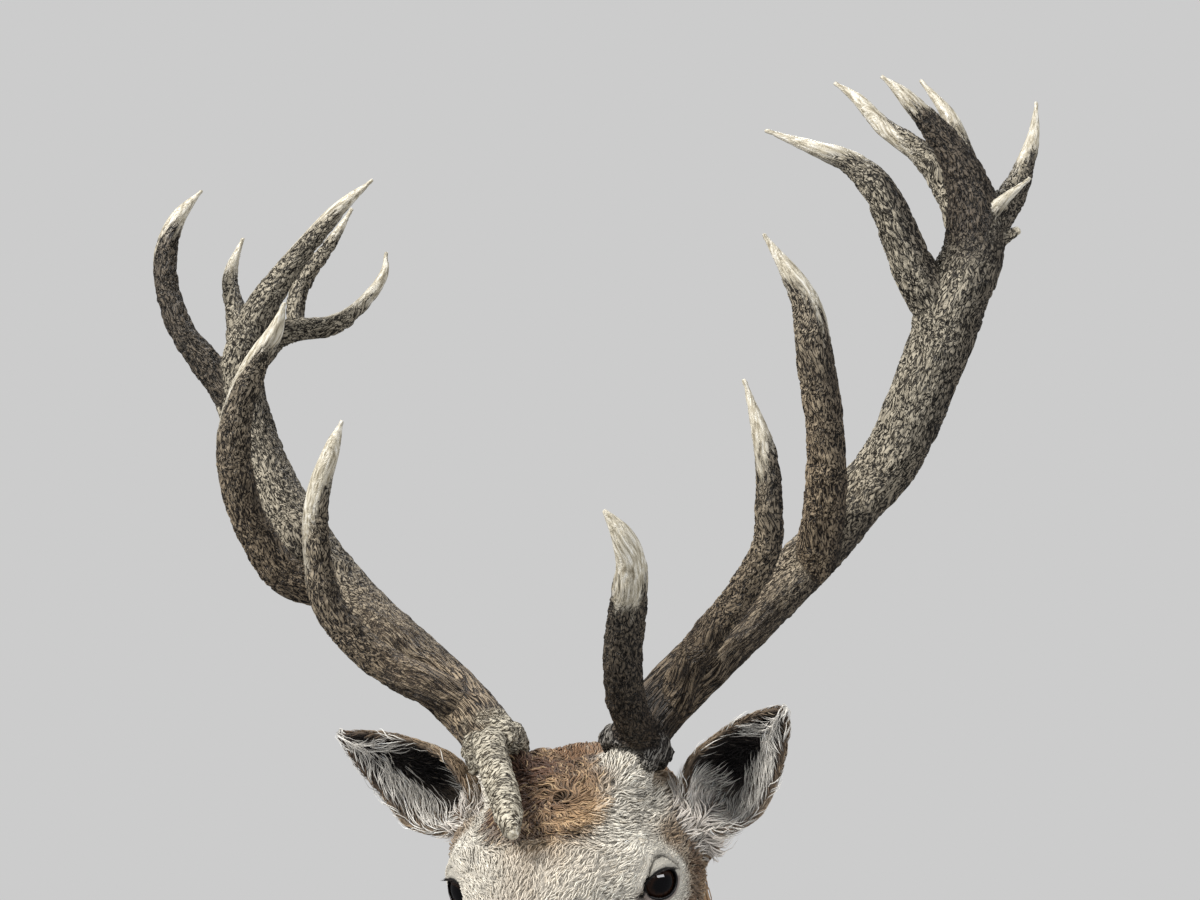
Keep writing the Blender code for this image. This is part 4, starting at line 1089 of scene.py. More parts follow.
def face_coat_depth(p):
    """How deep the coat is on the head, in the face's frame: the skin lies this far inside the solids."""
    y = p[..., 1]
    depth = 0.0015 + 0.0015 * ramp(-0.19, -0.08, y) + 0.0015 * ramp(-0.02, 0.06, y) + 0.0020 * patch_share(p)
    return depth * (0.30 + 0.70 * ramp(0.026, 0.045, eye_distance(p))) * ramp(-0.248, -0.228, y)


def eye_distance(p):
    """How far places of the face are from the nearer eye's centre."""
    return np.minimum(*[np.linalg.norm(p - np.array(eye), axis=-1) for eye in EYE_CENTRES.values()])


def ear_root_distance(p):
    """How far places of the face are from the nearer ear's root, along the skin."""
    return np.sqrt((np.abs(p[:, 0]) - EAR_ROOT[0]) ** 2 + (p[:, 1] - EAR_ROOT[1]) ** 2 + (0.8 * p[:, 2]) ** 2)


def lip_height(share):
    """How high the line between the lips runs, by the share of its way back from the front."""
    return -0.040 - 0.009 * np.sin(math.pi * np.minimum(share * 1.25, 1.0)) - 0.004 * share


def tear_distance(p):
    """How far places of the face are from the nearer tear line, and their share of the way down it."""
    found = []
    deep = math.sqrt(DOME_RADIUS**2 - EYE_OPENING[0] ** 2)
    for side, mirror in SIDES.items():
        corner = np.array(eye_basis(side) @ Vector((-EYE_OPENING[0], 0.0, deep)))
        found.append(from_segment(p, corner, corner + np.array(TEAR_WAY) * (mirror, 1, 1)))
    (left, left_share), (right, right_share) = found
    return np.minimum(left, right), np.where(left < right, left_share, right_share)


def patch_share(p):
    """The brown whorled patch between the antlers' feet."""
    x, y, z = (p[..., k] for k in range(3))
    away = np.hypot(x / PATCH_HALF[0], (y - PATCH_CENTRE) / PATCH_HALF[1])
    ragged = (cloud(p.reshape(-1, 3), 0.010, 71).reshape(x.shape) - 0.5) * 0.45
    left_edge = 0.035 - 0.50 * np.maximum(y - 0.048, 0) + 0.026 * ragged
    return ramp(1.10, 0.90, away + ragged) * ramp(0.0, 0.02, z) * ramp(0.007, -0.007, x - left_edge)


def head_grid():
    """The head's skin as a fine grid in the face's frame."""
    back, front = FACE_SECTIONS[0][0] * MM, FACE_SECTIONS[-1][0] * MM
    stations = np.linspace(back, front, round((front - back) / HEAD_STEP) + 1)
    rows = []
    for ahead in stations:
        ring = head_ring(ahead, HEAD_FINE)
        rows.append([(x, -(ahead + cut_shift(ahead, z)), z) for x, z in ring])
    grid = swelled(np.array(rows), HEAD_SWELLS)
    grid = swelled(grid, RIGHT_SWELLS, sides=(-1,))
    grid = swelled(grid, LEFT_SWELLS, sides=(1,))
    normals = grid_normals(np.concatenate([grid[:, -1:], grid, grid[:, :1]], 1))[:, 1:-1]
    middle = grid.mean(1, keepdims=True)
    normals *= np.sign(((grid - middle) * normals).sum(-1, keepdims=True))
    depth = face_coat_depth(grid) * ramp(back, back + 0.03, stations)[:, None]
    return grid - normals * depth[..., None]


def face_lie(p):
    """Which way the hair lies on the head, in the face's frame."""
    x, y, z = p.T
    none, whole = np.zeros_like(x), np.ones_like(x)
    side = np.clip(x / 0.03, -1, 1)
    low = ramp(0.01, -0.05, z)
    flow = np.stack([0.42 * side * (1 - low), whole, -0.45 * low], 1)
    brow = bell(np.abs(x) - 0.06, 0.03) * bell(y, 0.035) * bell(z - 0.03, 0.03)
    flow += np.stack([0.35 * side, none, 0.5 * whole], 1) * brow[:, None]
    # Round the whorl the hair runs outward in a spiral, within the forehead's patch
    dx, dy = x - WHORL[0], y - WHORL[1]
    away = np.maximum(np.hypot(dx, dy), 1e-4)
    rx, ry = dx / away, dy / away
    swirl = math.radians(38)
    spun = np.stack([rx * math.cos(swirl) - ry * math.sin(swirl), rx * math.sin(swirl) + ry * math.cos(swirl),
                     -0.2 * whole], 1)
    front = PATCH_CENTRE - PATCH_HALF[1] - 0.004
    held = ramp(0.075, 0.055, away) * ramp(front - 0.006, front + 0.004, y) * ramp(0.0, 0.02, z)
    return unit(mix(unit(flow), spun, held))


def face_colour(p):
    """The head's markings, in the face's frame."""
    x, y, z = p.T
    side = np.abs(x)
    on_top = ramp(0.0, 0.02, z)
    broad = cloud(p, 0.030, 81)
    fine = cloud(p, 0.006, 82)
    grey = np.clip(0.10 + 0.55 * (broad - 0.35) + 0.35 * (fine - 0.5), 0, 1)
    colour = mix(linear(WHITE_HAIR), linear(GREY_HAIR), grey)
    # Warm tan on the bridge of the nose, below the fringe of the forehead's patch
    bridge = bell(x - 0.004, 0.030) * ramp(-0.125, -0.045, y) * ramp(0.03, -0.03, y) * on_top
    bridge = bridge * (0.30 + 0.45 * ramp(-0.055, -0.02, y)) * (0.3 + 1.1 * fine)
    colour = painted(colour, GOLD_HAIR, np.clip(bridge, 0, 1))
    colour = painted(colour, (120, 104, 90), 0.7 * ramp(-0.13, -0.20, y) * ramp(-0.05, -0.01, z))
    # Back of the head, cheeks and the streak from the antler's foot down behind the eye
    beside = side + 0.3 * np.maximum(y - 0.09, 0)
    rear = ramp(0.062, 0.100, y + 0.012 * (broad - 0.5)) * ramp(0.040, 0.060, beside)
    colour = painted(colour, TAN_HAIR, rear)
    colour = painted(colour, NECK_HAIR, rear * ramp(0.085, 0.125, y + 0.03 * (broad - 0.5)) * 0.8)
    colour = painted(colour, TAN_HAIR, ramp(0.045, 0.075, y - 0.25 * z) * ramp(0.01, -0.02, z) * 0.9)
    outer = ramp(0.064, 0.078, side) * ramp(0.018, 0.032, y) * ramp(0.095, 0.078, y)
    colour = painted(colour, (142, 119, 93), outer * np.clip(0.50 + 0.8 * fine, 0, 0.95))
    streak_middle = 0.048 + 0.045 * ramp(-0.02, 0.03, z) - 0.008 * ramp(-0.02, -0.06, z)
    streak = bell(y - streak_middle, 0.0085) * ramp(0.050, 0.062, side) * ramp(-0.085, -0.055, z)
    colour = painted(colour, BROWN_HAIR, np.clip(streak * (0.55 + 0.6 * (fine - 0.3)), 0, 1))
    colour = painted(colour, DARK_HAIR, np.clip(streak * ramp(0.50, 0.75, fine) * 0.7, 0, 1))
    # The forehead's patch, rose-brown on its right and top, gold on its left and front, and its dark fringe
    gold = np.clip(0.22 + 17.0 * x - 7.0 * (y - 0.030) + 0.8 * (fine - 0.5) + 0.4 * (broad - 0.5), 0, 1)
    gold = np.maximum(gold, 0.55 * ramp(0.082, 0.098, y))
    colour = mix(colour, mix(linear(ROSE_HAIR), linear(GOLD_HAIR), gold), patch_share(p))
    fringe = bell(y + 0.006 + 0.010 * (broad - 0.5), 0.0045) * ramp(-0.030, -0.010, x)
    fringe = fringe * ramp(0.040, 0.025, x) * (0.45 + fine) * on_top
    colour = painted(colour, FRINGE_HAIR, np.clip(fringe, 0, 1))
    # The brown crown behind it, soft-edged towards the left, and the nape
    soft = 0.8 * np.maximum(y - 0.102, 0)
    crown = ramp(0.088, 0.108, y) * ramp(0.055, 0.045, side) * on_top
    colour = painted(colour, BROWN_HAIR, crown * np.clip((0.016 + soft - x) / (0.010 + 2 * soft), 0, 1))
    colour = painted(colour, BROWN_HAIR, ramp(0.106, 0.117, y) * ramp(-0.02, 0.02, z) * 0.8)
    # The white chin, the lips' dark line along the mouth, and the dark spot of the lower lip near its corner
    colour = painted(colour, (230, 226, 218), ramp(-0.045, -0.060, z) * ramp(-0.17, -0.20, y))
    above_lip = z - lip_height(np.clip((y - MOUTH_FRONT) / MOUTH_LENGTH, 0, 1))
    colour = painted(colour, (50, 40, 36), bell(above_lip, 0.0036) * ramp(-0.158, -0.166, y) * 0.85)
    spot = bell(y + 0.190, 0.014) * ramp(-0.002, -0.006, above_lip) * ramp(-0.022, -0.014, above_lip)
    colour = painted(colour, (70, 56, 48), spot * 0.6)
    colour = painted(colour, NOSE_SKIN, ramp(-0.224, -0.232, y) * ramp(-0.042, -0.030, z))
    # Pale fluff in front of each ear's root
    return painted(colour, (196, 188, 176), ramp(0.026, 0.014, ear_root_distance(p)) * 0.85)


def face_growth(p):
    """Length, height off the skin, width and how dense the tufts are on the head."""
    y, z = p[:, 1], p[:, 2]
    patch = patch_share(p)
    length = 0.0055 + 0.0035 * ramp(-0.18, -0.06, y) + 0.0055 * ramp(0.02, 0.09, y)
    length = length + 0.004 * ramp(-0.04, -0.09, z)
    length = length + (0.0200 - length) * patch
    stand = face_coat_depth(p) * 0.85 * (1 - 0.45 * ramp(0.080, 0.100, y) * ramp(0.0, 0.02, z))
    width = 0.0010 + 0.0003 * ramp(-0.06, 0.05, y) + 0.0006 * patch
    by_coronet = ramp(0.038, 0.022, np.linalg.norm(p - LEFT_CORONET, axis=1))
    by_eye = ramp(0.036, 0.026, eye_distance(p))
    length = length * (1 - 0.50 * by_coronet) * (1 - 0.62 * by_eye)
    stand = stand * (1 - 0.70 * by_coronet)
    width = width * (1 - 0.45 * by_eye)
    bare = ramp(-0.222, -0.230, y) * ramp(-0.044, -0.034, z)
    return length, stand, width, 1 - bare


def neck_ends(sides):
    """The neck's outline at the board and at the head, point for point, in world metres."""
    back = FACE_SECTIONS[0][0] * MM
    ring = head_ring(back, sides)
    normal = (FACE.to_3x3() @ Vector((0, 1, NECK_CUT_TILT))).normalized()
    at_head = np.array([FACE @ Vector((x, -(back + cut_shift(back, z)), z)) + normal * GAP for x, z in ring])
    angles = np.arctan2(ring[:, 0], ring[:, 1] - NECK_CUT_LEVEL)
    half_wide, half_high = NECK_BASE_HALF
    wide = half_wide * np.sin(angles) * (1 - 0.12 * np.cos(angles))
    high = NECK_BASE_Z + half_high * np.cos(angles)
    at_board = np.stack([wide, np.full(sides, -BOARD_THICK - GAP), high], 1)
    return at_board, at_head


def coat_depth(t, angle):
    """How far the coat's tips stand off the neck's surface: deepest under the throat, thin on the nape."""
    under = ((1 - np.cos(angle)) / 2) ** 1.5
    return (0.004 + 0.040 * under) * np.sin(math.pi * (0.12 + 0.86 * np.clip(t, 0, 1))) ** 0.7


class Neck:
    """The neck's surface, by how far from board to head, the angle from the nape, and the height off it."""

    def __init__(self, sides=120):
        self.board, self.head = neck_ends(sides)
        self.sides = sides
        self.low = self.board.mean(0)
        self.high = self.head.mean(0)

    def place(self, t, angle, height):
        """World points at shares of the way from board to head, at angles and at heights off the surface."""
        turn = np.asarray(angle) / (2 * math.pi) * self.sides
        k = np.floor(turn).astype(int)
        part = (turn - k)[..., None]
        low, high = (ring[k % self.sides] * (1 - part) + ring[(k + 1) % self.sides] * part
                     for ring in (self.board, self.head))
        t = np.asarray(t)[..., None]
        grown = 1 - (1 - np.minimum(t, 1)) ** NECK_SLIMNESS
        middle = self.low * (1 - t) + self.high * t
        spot = low * (1 - t) + high * t
        spot[..., :1] = (middle[..., :1] + (low[..., :1] - self.low[0]) * (1 - grown)
                         + (high[..., :1] - self.high[0]) * grown)
        out = unit(spot - middle)
        belly = THROAT_FULLNESS * np.sin(math.pi * np.clip(t, 0, 1)) * (1 - np.cos(angle))[..., None] / 2
        spot[..., 1:2] -= belly
        return spot + out * np.asarray(height)[..., None]

    def lie(self, t, angle):
        """The way from head to board along the neck."""
        return unit(self.place(t - 0.01, angle, 0 * t) - self.place(t + 0.01, angle, 0 * t))


def neck_colour(t, angle, points):
    """Tan near the head, darker and browner in the mane under the throat, pale hairs scattered in it."""
    under = (1 - np.cos(angle)) / 2
    broad = cloud(points, 0.045, 91)
    fine = cloud(points * (1, 0.4, 1), 0.010, 92)
    colour = mix(linear(NECK_HAIR), linear(MANE_HAIR), np.clip(under * 0.9 + 0.5 * (broad - 0.5), 0, 1))
    collar = mix(linear(BROWN_HAIR), linear(TAN_HAIR), np.clip(0.25 + 0.5 * under, 0, 1))
    colour = mix(colour, collar, np.clip(ramp(0.60, 1.0, t) * 0.9 + 0.4 * (fine - 0.5), 0, 1))
    return painted(colour, DARK_HAIR, np.clip(ramp(0.4, 0.1, t) * 0.45 + 0.6 * (fine - 0.62), 0, 1))


def ear_axes(side):
    """An ear's root, length and its directions along, across and out of the cup, from between the eyes."""
    root, tip = (Vector(end) * MM for end in EARS[side])
    along = (tip - root).normalized()
    faces = Vector((EAR_FACES.x * SIDES[side], EAR_FACES.y, EAR_FACES.z))
    faces = (faces - along * faces.dot(along)).normalized()
    return root, (tip - root).length, along, along.cross(faces), faces


def ear_faces_of(side):
    """The ear's inner and outer face as grids in the stag's frame, from root to tip and across its cup."""
    root, length, *axes = ear_axes(side)
    root, along, across, faces = (np.array(vector) for vector in (root, *axes))
    rows = []
    for share in np.linspace(0, 1, EAR_FINE + 1):
        half = EAR_HALF_WIDTH * (1 - share * share) ** 0.75 * (0.56 + 0.44 * min(1.0, share / 0.3) ** 0.7)
        span = math.radians(150 - 115 * share**0.7)
        radius = max(half, 0.0035) / math.sin(min(span, math.pi / 2))
        bowed = 0.016 * math.sin(math.pi * share**0.8)
        middle = root + along * (EAR_START + (length - EAR_START) * share) - faces * bowed
        angles = span * np.linspace(-1, 1, EAR_FINE + 1)[:, None]
        row = middle + across * radius * np.sin(angles) + faces * radius * (1 - np.cos(angles))
        rows.append(row - faces * EAR_ROOT_RADIUS * 0.8 * (1 - share) ** 2)
    grid = np.array(rows)
    normals = grid_normals(grid)
    normals *= np.sign(normals[EAR_FINE // 2, EAR_FINE // 2] @ faces)
    return grid + normals * EAR_SHEET / 2, grid - normals * EAR_SHEET / 2


class Sources:
    """The shapes that the skin is fused from, with what grows on each point of them."""

    def __init__(self):
        self.points, self.values, self.faces = [], [], []
        self.count = 0

    def add(self, grid, lie, length, stand, width, dense, colour, zone, chart):
        """A grid of world points with one row of values for each, and its place on the skin's unwrap."""
        rows, columns = grid.shape[:2]
        u, v = np.meshgrid(np.linspace(chart[0], chart[2], columns), np.linspace(chart[1], chart[3], rows))
        number = rows * columns
        growth = [np.broadcast_to(np.ravel(a), (number,)) for a in (length, stand, width, dense)]
        self.values.append(np.column_stack([lie.reshape(-1, 3), *growth, colour, np.full(number, zone),
                                            u.ravel(), v.ravel()]))
        self.points.append(grid.reshape(-1, 3))
        corner = self.count + np.arange(number).reshape(rows, columns)[:-1, :-1].reshape(-1, 1)
        self.faces.append(corner + (0, 1, columns + 1, 0, columns + 1, columns))
        self.count += number

    def ready(self):
        """Joins all that was added and makes its search tree."""
        self.points = np.vstack(self.points)
        self.values = np.vstack(self.values)
        self.faces = np.vstack(self.faces).reshape(-1, 3)
        self.tree = BVHTree.FromPolygons(self.points.tolist(), self.faces.tolist())

    def at(self, points):
        """The values at the nearest place of the sources, for each point."""
        spots, _, face = nearest_on(self.tree, points)
        corners = self.faces[face]
        a, b, c = (self.points[corners[:, k]] for k in range(3))
        weights = barycentric(spots, a, b, c)
        return sum(self.values[corners[:, k]] * weights[:, k:k + 1] for k in range(3))


def nearest_on(tree, points):
    """The nearest place of a surface to each point, with its normal and the number of its face."""
    hits = map(tree.find_nearest, points.tolist())
    found = np.array([(*spot, *normal, face) for spot, normal, face, _ in hits])
    return found[:, :3], found[:, 3:6], found[:, 6].astype(int)


def barycentric(p, a, b, c):
    """How much each corner of a triangle counts at points in it."""
    ab, ac, ap = b - a, c - a, p - a
    d00, d01, d11 = (ab * ab).sum(1), (ab * ac).sum(1), (ac * ac).sum(1)
    d20, d21 = (ap * ab).sum(1), (ap * ac).sum(1)
    area = np.maximum(d00 * d11 - d01 * d01, 1e-18)
    v = np.clip((d11 * d20 - d01 * d21) / area, 0, 1)
    w = np.clip((d00 * d21 - d01 * d20) / area, 0, 1)
    return np.stack([1 - v - w, v, w], 1)


# Columns of the values that the skin carries, and the numbers of its parts
LIE, LENGTH, STAND, WIDTH, DENSE, COLOUR, ZONE, UV = slice(0, 3), 3, 4, 5, 6, slice(7, 10), 10, slice(11, 13)
VALUE_COLUMNS = 13
HEAD_ZONE, NECK_ZONE, INNER_EAR, OUTER_EAR = 0, 1, 2, 3


def head_source(sources):
    """The head with what grows on it, as a closed body in the world."""
    grid = head_grid()
    closed = np.concatenate([grid, grid[:, :1]], 1)
    p = closed.reshape(-1, 3)
    sources.add(placed(FACE, closed), turned(FACE, face_lie(p)), *face_growth(p), face_colour(p), HEAD_ZONE,
                HEAD_CHART)
    return closed_rows(placed(FACE, grid))


def neck_source(sources, neck):
    """The neck under its mane, as a closed body that ends inside the head."""
    sides = 150
    angles = np.linspace(0, 2 * math.pi, sides + 1)
    t, angle = np.meshgrid(np.linspace(0, 1, NECK_FINE_RINGS), angles, indexing="ij")
    skin = coat_depth(t, angle) * UNDER_MANE * ramp(0, 0.06, t) * ramp(1, 0.9, t)
    grid = neck.place(t, angle, skin)
    under = (1 - np.cos(angle)) / 2
    length = (0.020 + 0.030 * under) * (0.75 + 0.25 * np.sin(math.pi * t))
    stand = 0.0035 + (coat_depth(t, angle) - skin) * 0.75
    width = 0.0022 + 0.0012 * under
    colour = neck_colour(t.ravel(), angle.ravel(), grid.reshape(-1, 3))
    sources.add(grid, neck.lie(t, angle), length, stand, width, 1.0, colour, NECK_ZONE,
                NECK_CHART)
    inside = neck.place(np.full(sides, 1.06), angles[:-1], np.full(sides, -0.012))
    return closed_rows(np.concatenate([grid[:, :-1], inside[None]], 0))


def ear_source(sources, side):
    """One ear: short coat outside, dark skin inside with long pale hairs from its margins."""
    inner, outer = ear_faces_of(side)
    s, j = np.meshgrid(np.linspace(0, 1, EAR_FINE + 1), np.linspace(-1, 1, EAR_FINE + 1), indexing="ij")
    along, across = np.gradient(inner, axis=0), np.gradient(inner, axis=1)
    # The front margin is the one nearer the middle of the head
    front = 1 if abs(inner[20, -1, 0]) < abs(inner[20, 0, 0]) else -1
    margin = j * front
    broad = cloud(inner.reshape(-1, 3), 0.016, 102)
    inward = ramp(-0.1, -0.7, margin) - ramp(0.1, 0.7, margin)
    lie_in = unit(unit(along) * 0.8 + unit(across) * front * (1.1 * inward)[..., None])
    # Long pale hairs stand along the rear margin, near the front margin's top, at the tip and at the root
    pale = ramp(-0.10, -0.50, margin)
    pale = np.maximum(pale, ramp(0.10, 0.50, margin) * bell(s - 0.68, 0.15))
    pale = np.maximum(pale, ramp(0.17, 0.05, s) * ramp(-0.45, 0.25, margin))
    pale = np.maximum(pale, 0.6 * ramp(0.88, 0.96, s)).ravel()
    share, root_hair = (1.0, (186, 175, 163)) if side == "left" else (0.8, (138, 124, 108))
    hairy = np.clip(pale * (0.25 + 1.3 * broad), 0.0, 1) * share
    low = ramp(0.55, 0.15, s).ravel()
    tip = ramp(0.8, 1.0, s).ravel()
    rim = np.clip(ramp(0.95, 0.99, np.abs(j)) + ramp(0.98, 1.0, s), 0, 1).ravel()
    colour_in = mix(linear(EAR_SKIN), linear((74, 63, 59)), np.clip(1.1 * broad - 0.52 + 0.5 * pale, 0, 1))
    colour_in = painted(colour_in, root_hair, low * pale * 0.9)
    colour_in = painted(colour_in, (124, 100, 78), rim * 0.8)
    colour_out = mix(linear((172, 152, 126)), linear((126, 104, 80)), np.clip(broad * 1.1 - 0.3 * low, 0, 1))
    colour_out = painted(colour_out, (84, 66, 52), np.clip(rim * 0.5 + tip * 0.4, 0, 1) * 0.8)
    for grid, lie, length, stand, dense, colour, zone, start in (
        (inner, lie_in, 0.009, 0.0020, hairy, colour_in, INNER_EAR, INNER_EAR_START),
        (outer, unit(along), 0.008, 0.0014, 1.0, colour_out, OUTER_EAR, OUTER_EAR_START),
    ):
        chart = (start, EAR_ROWS[side], start + EAR_CHART_SIZE[0], EAR_ROWS[side] + EAR_CHART_SIZE[1])
        sources.add(placed(STAG, grid), turned(STAG, lie), length, stand, 0.0011, dense, colour, zone, chart)
    return moved(STAG, closed_rows(np.concatenate([inner, outer[:, ::-1]], 1)))


def ear_root_body(side):
    """The ear's rounded root, from inside the head up into its cup."""
    root, _, along, _, _ = ear_axes(side)
    shape = ((-0.045, 1.15), (-0.02, 1.10), (0.0, 1.04), (0.008, 0.98), (0.012, 0.90), (0.015, 0.6))
    line = [(*(root + along * at), EAR_ROOT_RADIUS * share - 0.003) for at, share in shape]
    return moved(STAG, round_tube(line, 28))


def pedicle_body(side):
    """The skin-covered foot of an antler, up to just below its coronet."""
    line = limb_line(ANTLERS[side][0])
    up = tangent_at(line, 0.0)
    shape = ((-0.050, 1.20), (-0.030, 1.10), (-0.012, 0.98), (0.001, 0.92))
    rows = [(*(line[0, :3] + up * at), PEDICLE_RADIUS * share) for at, share in shape]
    return moved(STAG, round_tube(rows, 28))


def lid_body(side):
    """The lids' full round over the eyeball, before the opening is cut."""
    return moved(eye_frame(side), ball(EYE_RADIUS + GAP + LID_THICK, 24, 40))


def triangulated(bm):
    """Splits a mesh's faces of more than four corners into triangles."""
    bmesh.ops.triangulate(bm, faces=[face for face in bm.faces if len(face.verts) > 4])


def refined(obj, spots):
    """Splits the skin's faces once more within reach of some places."""
    bm = bmesh.new()
    bm.from_mesh(obj.data)
    chosen = set()
    for centre, reach in spots:
        for face in bm.faces:
            if (face.calc_center_median() - centre).length < reach:
                chosen.add(face)
    edges = {e for f in chosen for e in f.edges}
    bmesh.ops.subdivide_edges(bm, edges=list(edges), cuts=1, use_grid_fill=True, smooth=0.0)
    triangulated(bm)
    bm.to_mesh(obj.data)
    bm.free()


def fold_lids(obj):
    """Presses the folds of the lids and the brow, and the tear lines, into the skin round each eye."""
    mesh = obj.data
    points, normals = points_of(mesh), normals_of(mesh)
    tear, down = tear_distance(placed(FACE.inverted(), points))
    points = points - normals * (0.0020 * ramp(0.0036, 0.0008, tear) * (1 - 0.4 * down))[:, None]
    for side in SIDES:
        upper, lower, around, crease = lid_place(points, side)
        push = -0.0030 * bell(around - crease, 0.075) * upper
        push += 0.0013 * ramp(1.05, 1.2, around) * ramp(0.0, -0.12, around - crease) * upper
        push += 0.0016 * bell(around - crease - 0.34, 0.24) * upper
        push += -0.0012 * bell(around - 1.38, 0.10) * lower
        push += 0.0008 * bell(around - 1.22, 0.10) * lower
        points = points + normals * push[:, None]
    move_points(mesh, points)


def lid_place(points, side):
    """How far world points count to the upper and the lower lid of an eye, their distance from its middle in
    sizes of its opening, and the distance at which the upper lid's crease runs there."""
    seen = placed(eye_frame(side).inverted(), points)
    along = seen[:, 0] / EYE_OPENING[0]
    high = seen[:, 1] / EYE_OPENING[1]
    near = ramp(0.050, 0.042, np.linalg.norm(seen, axis=1)) * (seen[:, 2] > 0.0)
    around = np.hypot(along, high)
    crease = 1.10 + 0.62 * ramp(-0.84, 0.02, along) - 0.28 * ramp(0.5, 1.15, along)
    return near * ramp(-0.10, 0.15, high), near * ramp(0.10, -0.15, high), around, crease


def mark_eyes(points, values):
    """Paints the lids, their margins, painted shade along the upper lid's crease and the tear lines into the
    coat's values at world points.
    """
    tear, down = tear_distance(placed(FACE.inverted(), points))
    tears = ramp(0.0030, 0.0016, tear) * (1 - 0.25 * down)
    bare = tears
    colour = painted(values[:, COLOUR], (118, 102, 90), ramp(0.0080, 0.0034, tear) * 0.75 * (1 - 0.4 * down))
    for side in SIDES:
        upper, lower, around, crease = lid_place(points, side)
        lid = ramp(0.05, -0.05, around - crease) * upper
        under = ramp(1.45, 1.25, around) * lower
        # The dark line along the upper lid's crease is painted shade in its fold
        line = bell(around - crease, 0.055) * upper
        margin = ramp(1.10, 1.04, around) * (upper + lower > 0.5)
        for screen, share in (((214, 208, 194), lid * 0.85), ((150, 136, 128), under * 0.8),
                              ((44, 36, 30), line), ((16, 12, 12), margin)):
            colour = painted(colour, screen, share)
        short = np.maximum(lid, under)
        bare = np.maximum.reduce([bare, line, margin, 0.5 * short])
        values[:, LENGTH] *= 1 - 0.5 * short
        values[:, STAND] *= 1 - 0.6 * short
    values[:, COLOUR] = painted(colour, (20, 15, 15), tears)
    values[:, DENSE] *= 1 - bare


def cut(obj, bodies):
    """Cuts closed bodies, given as points and faces, out of the object."""
    gathered = bpy.data.collections.new("cutters")
    bpy.context.scene.collection.children.link(gathered)
    made = []
    for k, (points, faces) in enumerate(bodies):
        cutter = bpy.data.objects.new(f"cutter_{k}", turn_outward(mesh_of(f"cutter_{k}", points, faces)))
        gathered.objects.link(cutter)
        made.append(cutter)
    modifier = obj.modifiers.new("cut", "BOOLEAN")
    modifier.operation = "DIFFERENCE"
    modifier.operand_type = "COLLECTION"
    modifier.collection = gathered
    modifier.solver = "MANIFOLD"
    applied(obj)
    for cutter in made:
        bpy.data.objects.remove(cutter, do_unlink=True)
    bpy.data.collections.remove(gathered)
    return obj


def socket_body(side):
    """The hollow behind one eye's lids, as a cutter."""
    return moved(eye_frame(side), ball(DOME_RADIUS + GAP, 36, 56))


def opening_body(side):
    """The almond between one eye's lids, as a cutter."""
    rows = []
    for depth, spread in ((0.004, 0.80), (0.012, 0.92), (0.034, 1.28)):
        rows.append([(*(value * spread for value in almond(angle)), depth) for angle in circle(64)])
    return moved(eye_frame(side), closed_rows(np.array(rows)))


def nostril_body(side):
    """One nostril's curved hollow, as a cutter."""
    line = smooth_line([(x * SIDES[side], y, z, radius) for x, y, z, radius in NOSTRIL], 0.0015)
    return moved(FACE, round_tube(line, 24))


def lid_rim(side, material):
    """The dark, moist margin of both lids, drawn out at the inner corner."""
    places, inner = lid_line(circle(96), 0.955, 0.0011, (0.0028, 0.0012))
    line = np.column_stack([places, 0.00065 + 0.0003 * inner])
    along = unit(np.roll(places, -1, axis=0) - np.roll(places, 1, axis=0))
    out = unit(places)
    rings = rings_round(line, np.cross(along, out) * 1.25, out, 12)
    points, faces = moved(eye_frame(side), closed_rows(rings, ring=True))
    obj = new_object(f"lid_rim_{side}", turn_outward(mesh_of(f"lid_rim_{side}", points, faces)))
    return finished(obj, material, "face_coat")


def rim_material():
    """The dark, moist skin of the lids' margins."""
    n = Nodes("lid_skin")
    colour = n.curve(n.noise(700.0), (0.3, (10, 8, 8)), (0.7, (24, 19, 18)))
    return n.finish(Base_Color=colour, Roughness=0.34, Normal=n.bump(n.noise(1500.0), 0.0003, 0.5))


def smoothed(mesh, values, rounds):
    """Values spread over the mesh's neighbours."""
    a, b = read_out(mesh.edges, "vertices", 2, np.int32).T
    count = len(mesh.vertices)
    degree = np.bincount(a, minlength=count) + np.bincount(b, minlength=count)
    for _ in range(rounds):
        total = np.stack([np.bincount(a, column[b], count) + np.bincount(b, column[a], count)
                          for column in values.T], 1)
        values = 0.4 * values + 0.6 * total / np.maximum(degree, 1)[:, None]
    return values


def build_skin(sources, neck):
    """One skin over head, neck, ears and the antlers' feet."""
    bodies = [head_source(sources), neck_source(sources, neck)]
    for side in SIDES:
        bodies += [ear_source(sources, side), ear_root_body(side), pedicle_body(side), lid_body(side)]
    obj = fused("skin", bodies, SKIN_VOXEL, 2)
    shaped = swelled(placed(FACE.inverted(), points_of(obj.data)), SEAM_SWELLS, sides=(1,))
    move_points(obj.data, placed(FACE, shaped))
    eyes = [eye_frame(side) @ Vector((0, 0, EYE_RADIUS)) for side in SIDES]
    refined(obj, [(eye, 0.036) for eye in eyes] + [(FACE @ Vector((0, -0.235, -0.015)), 0.045)])
    refined(obj, [(eye, 0.024) for eye in eyes])
    fold_lids(obj)
    mouth = mouth_body(obj)
    cutters = [body(side) for side in SIDES for body in (socket_body, opening_body, nostril_body)]
    return cut(obj, cutters + [mouth])


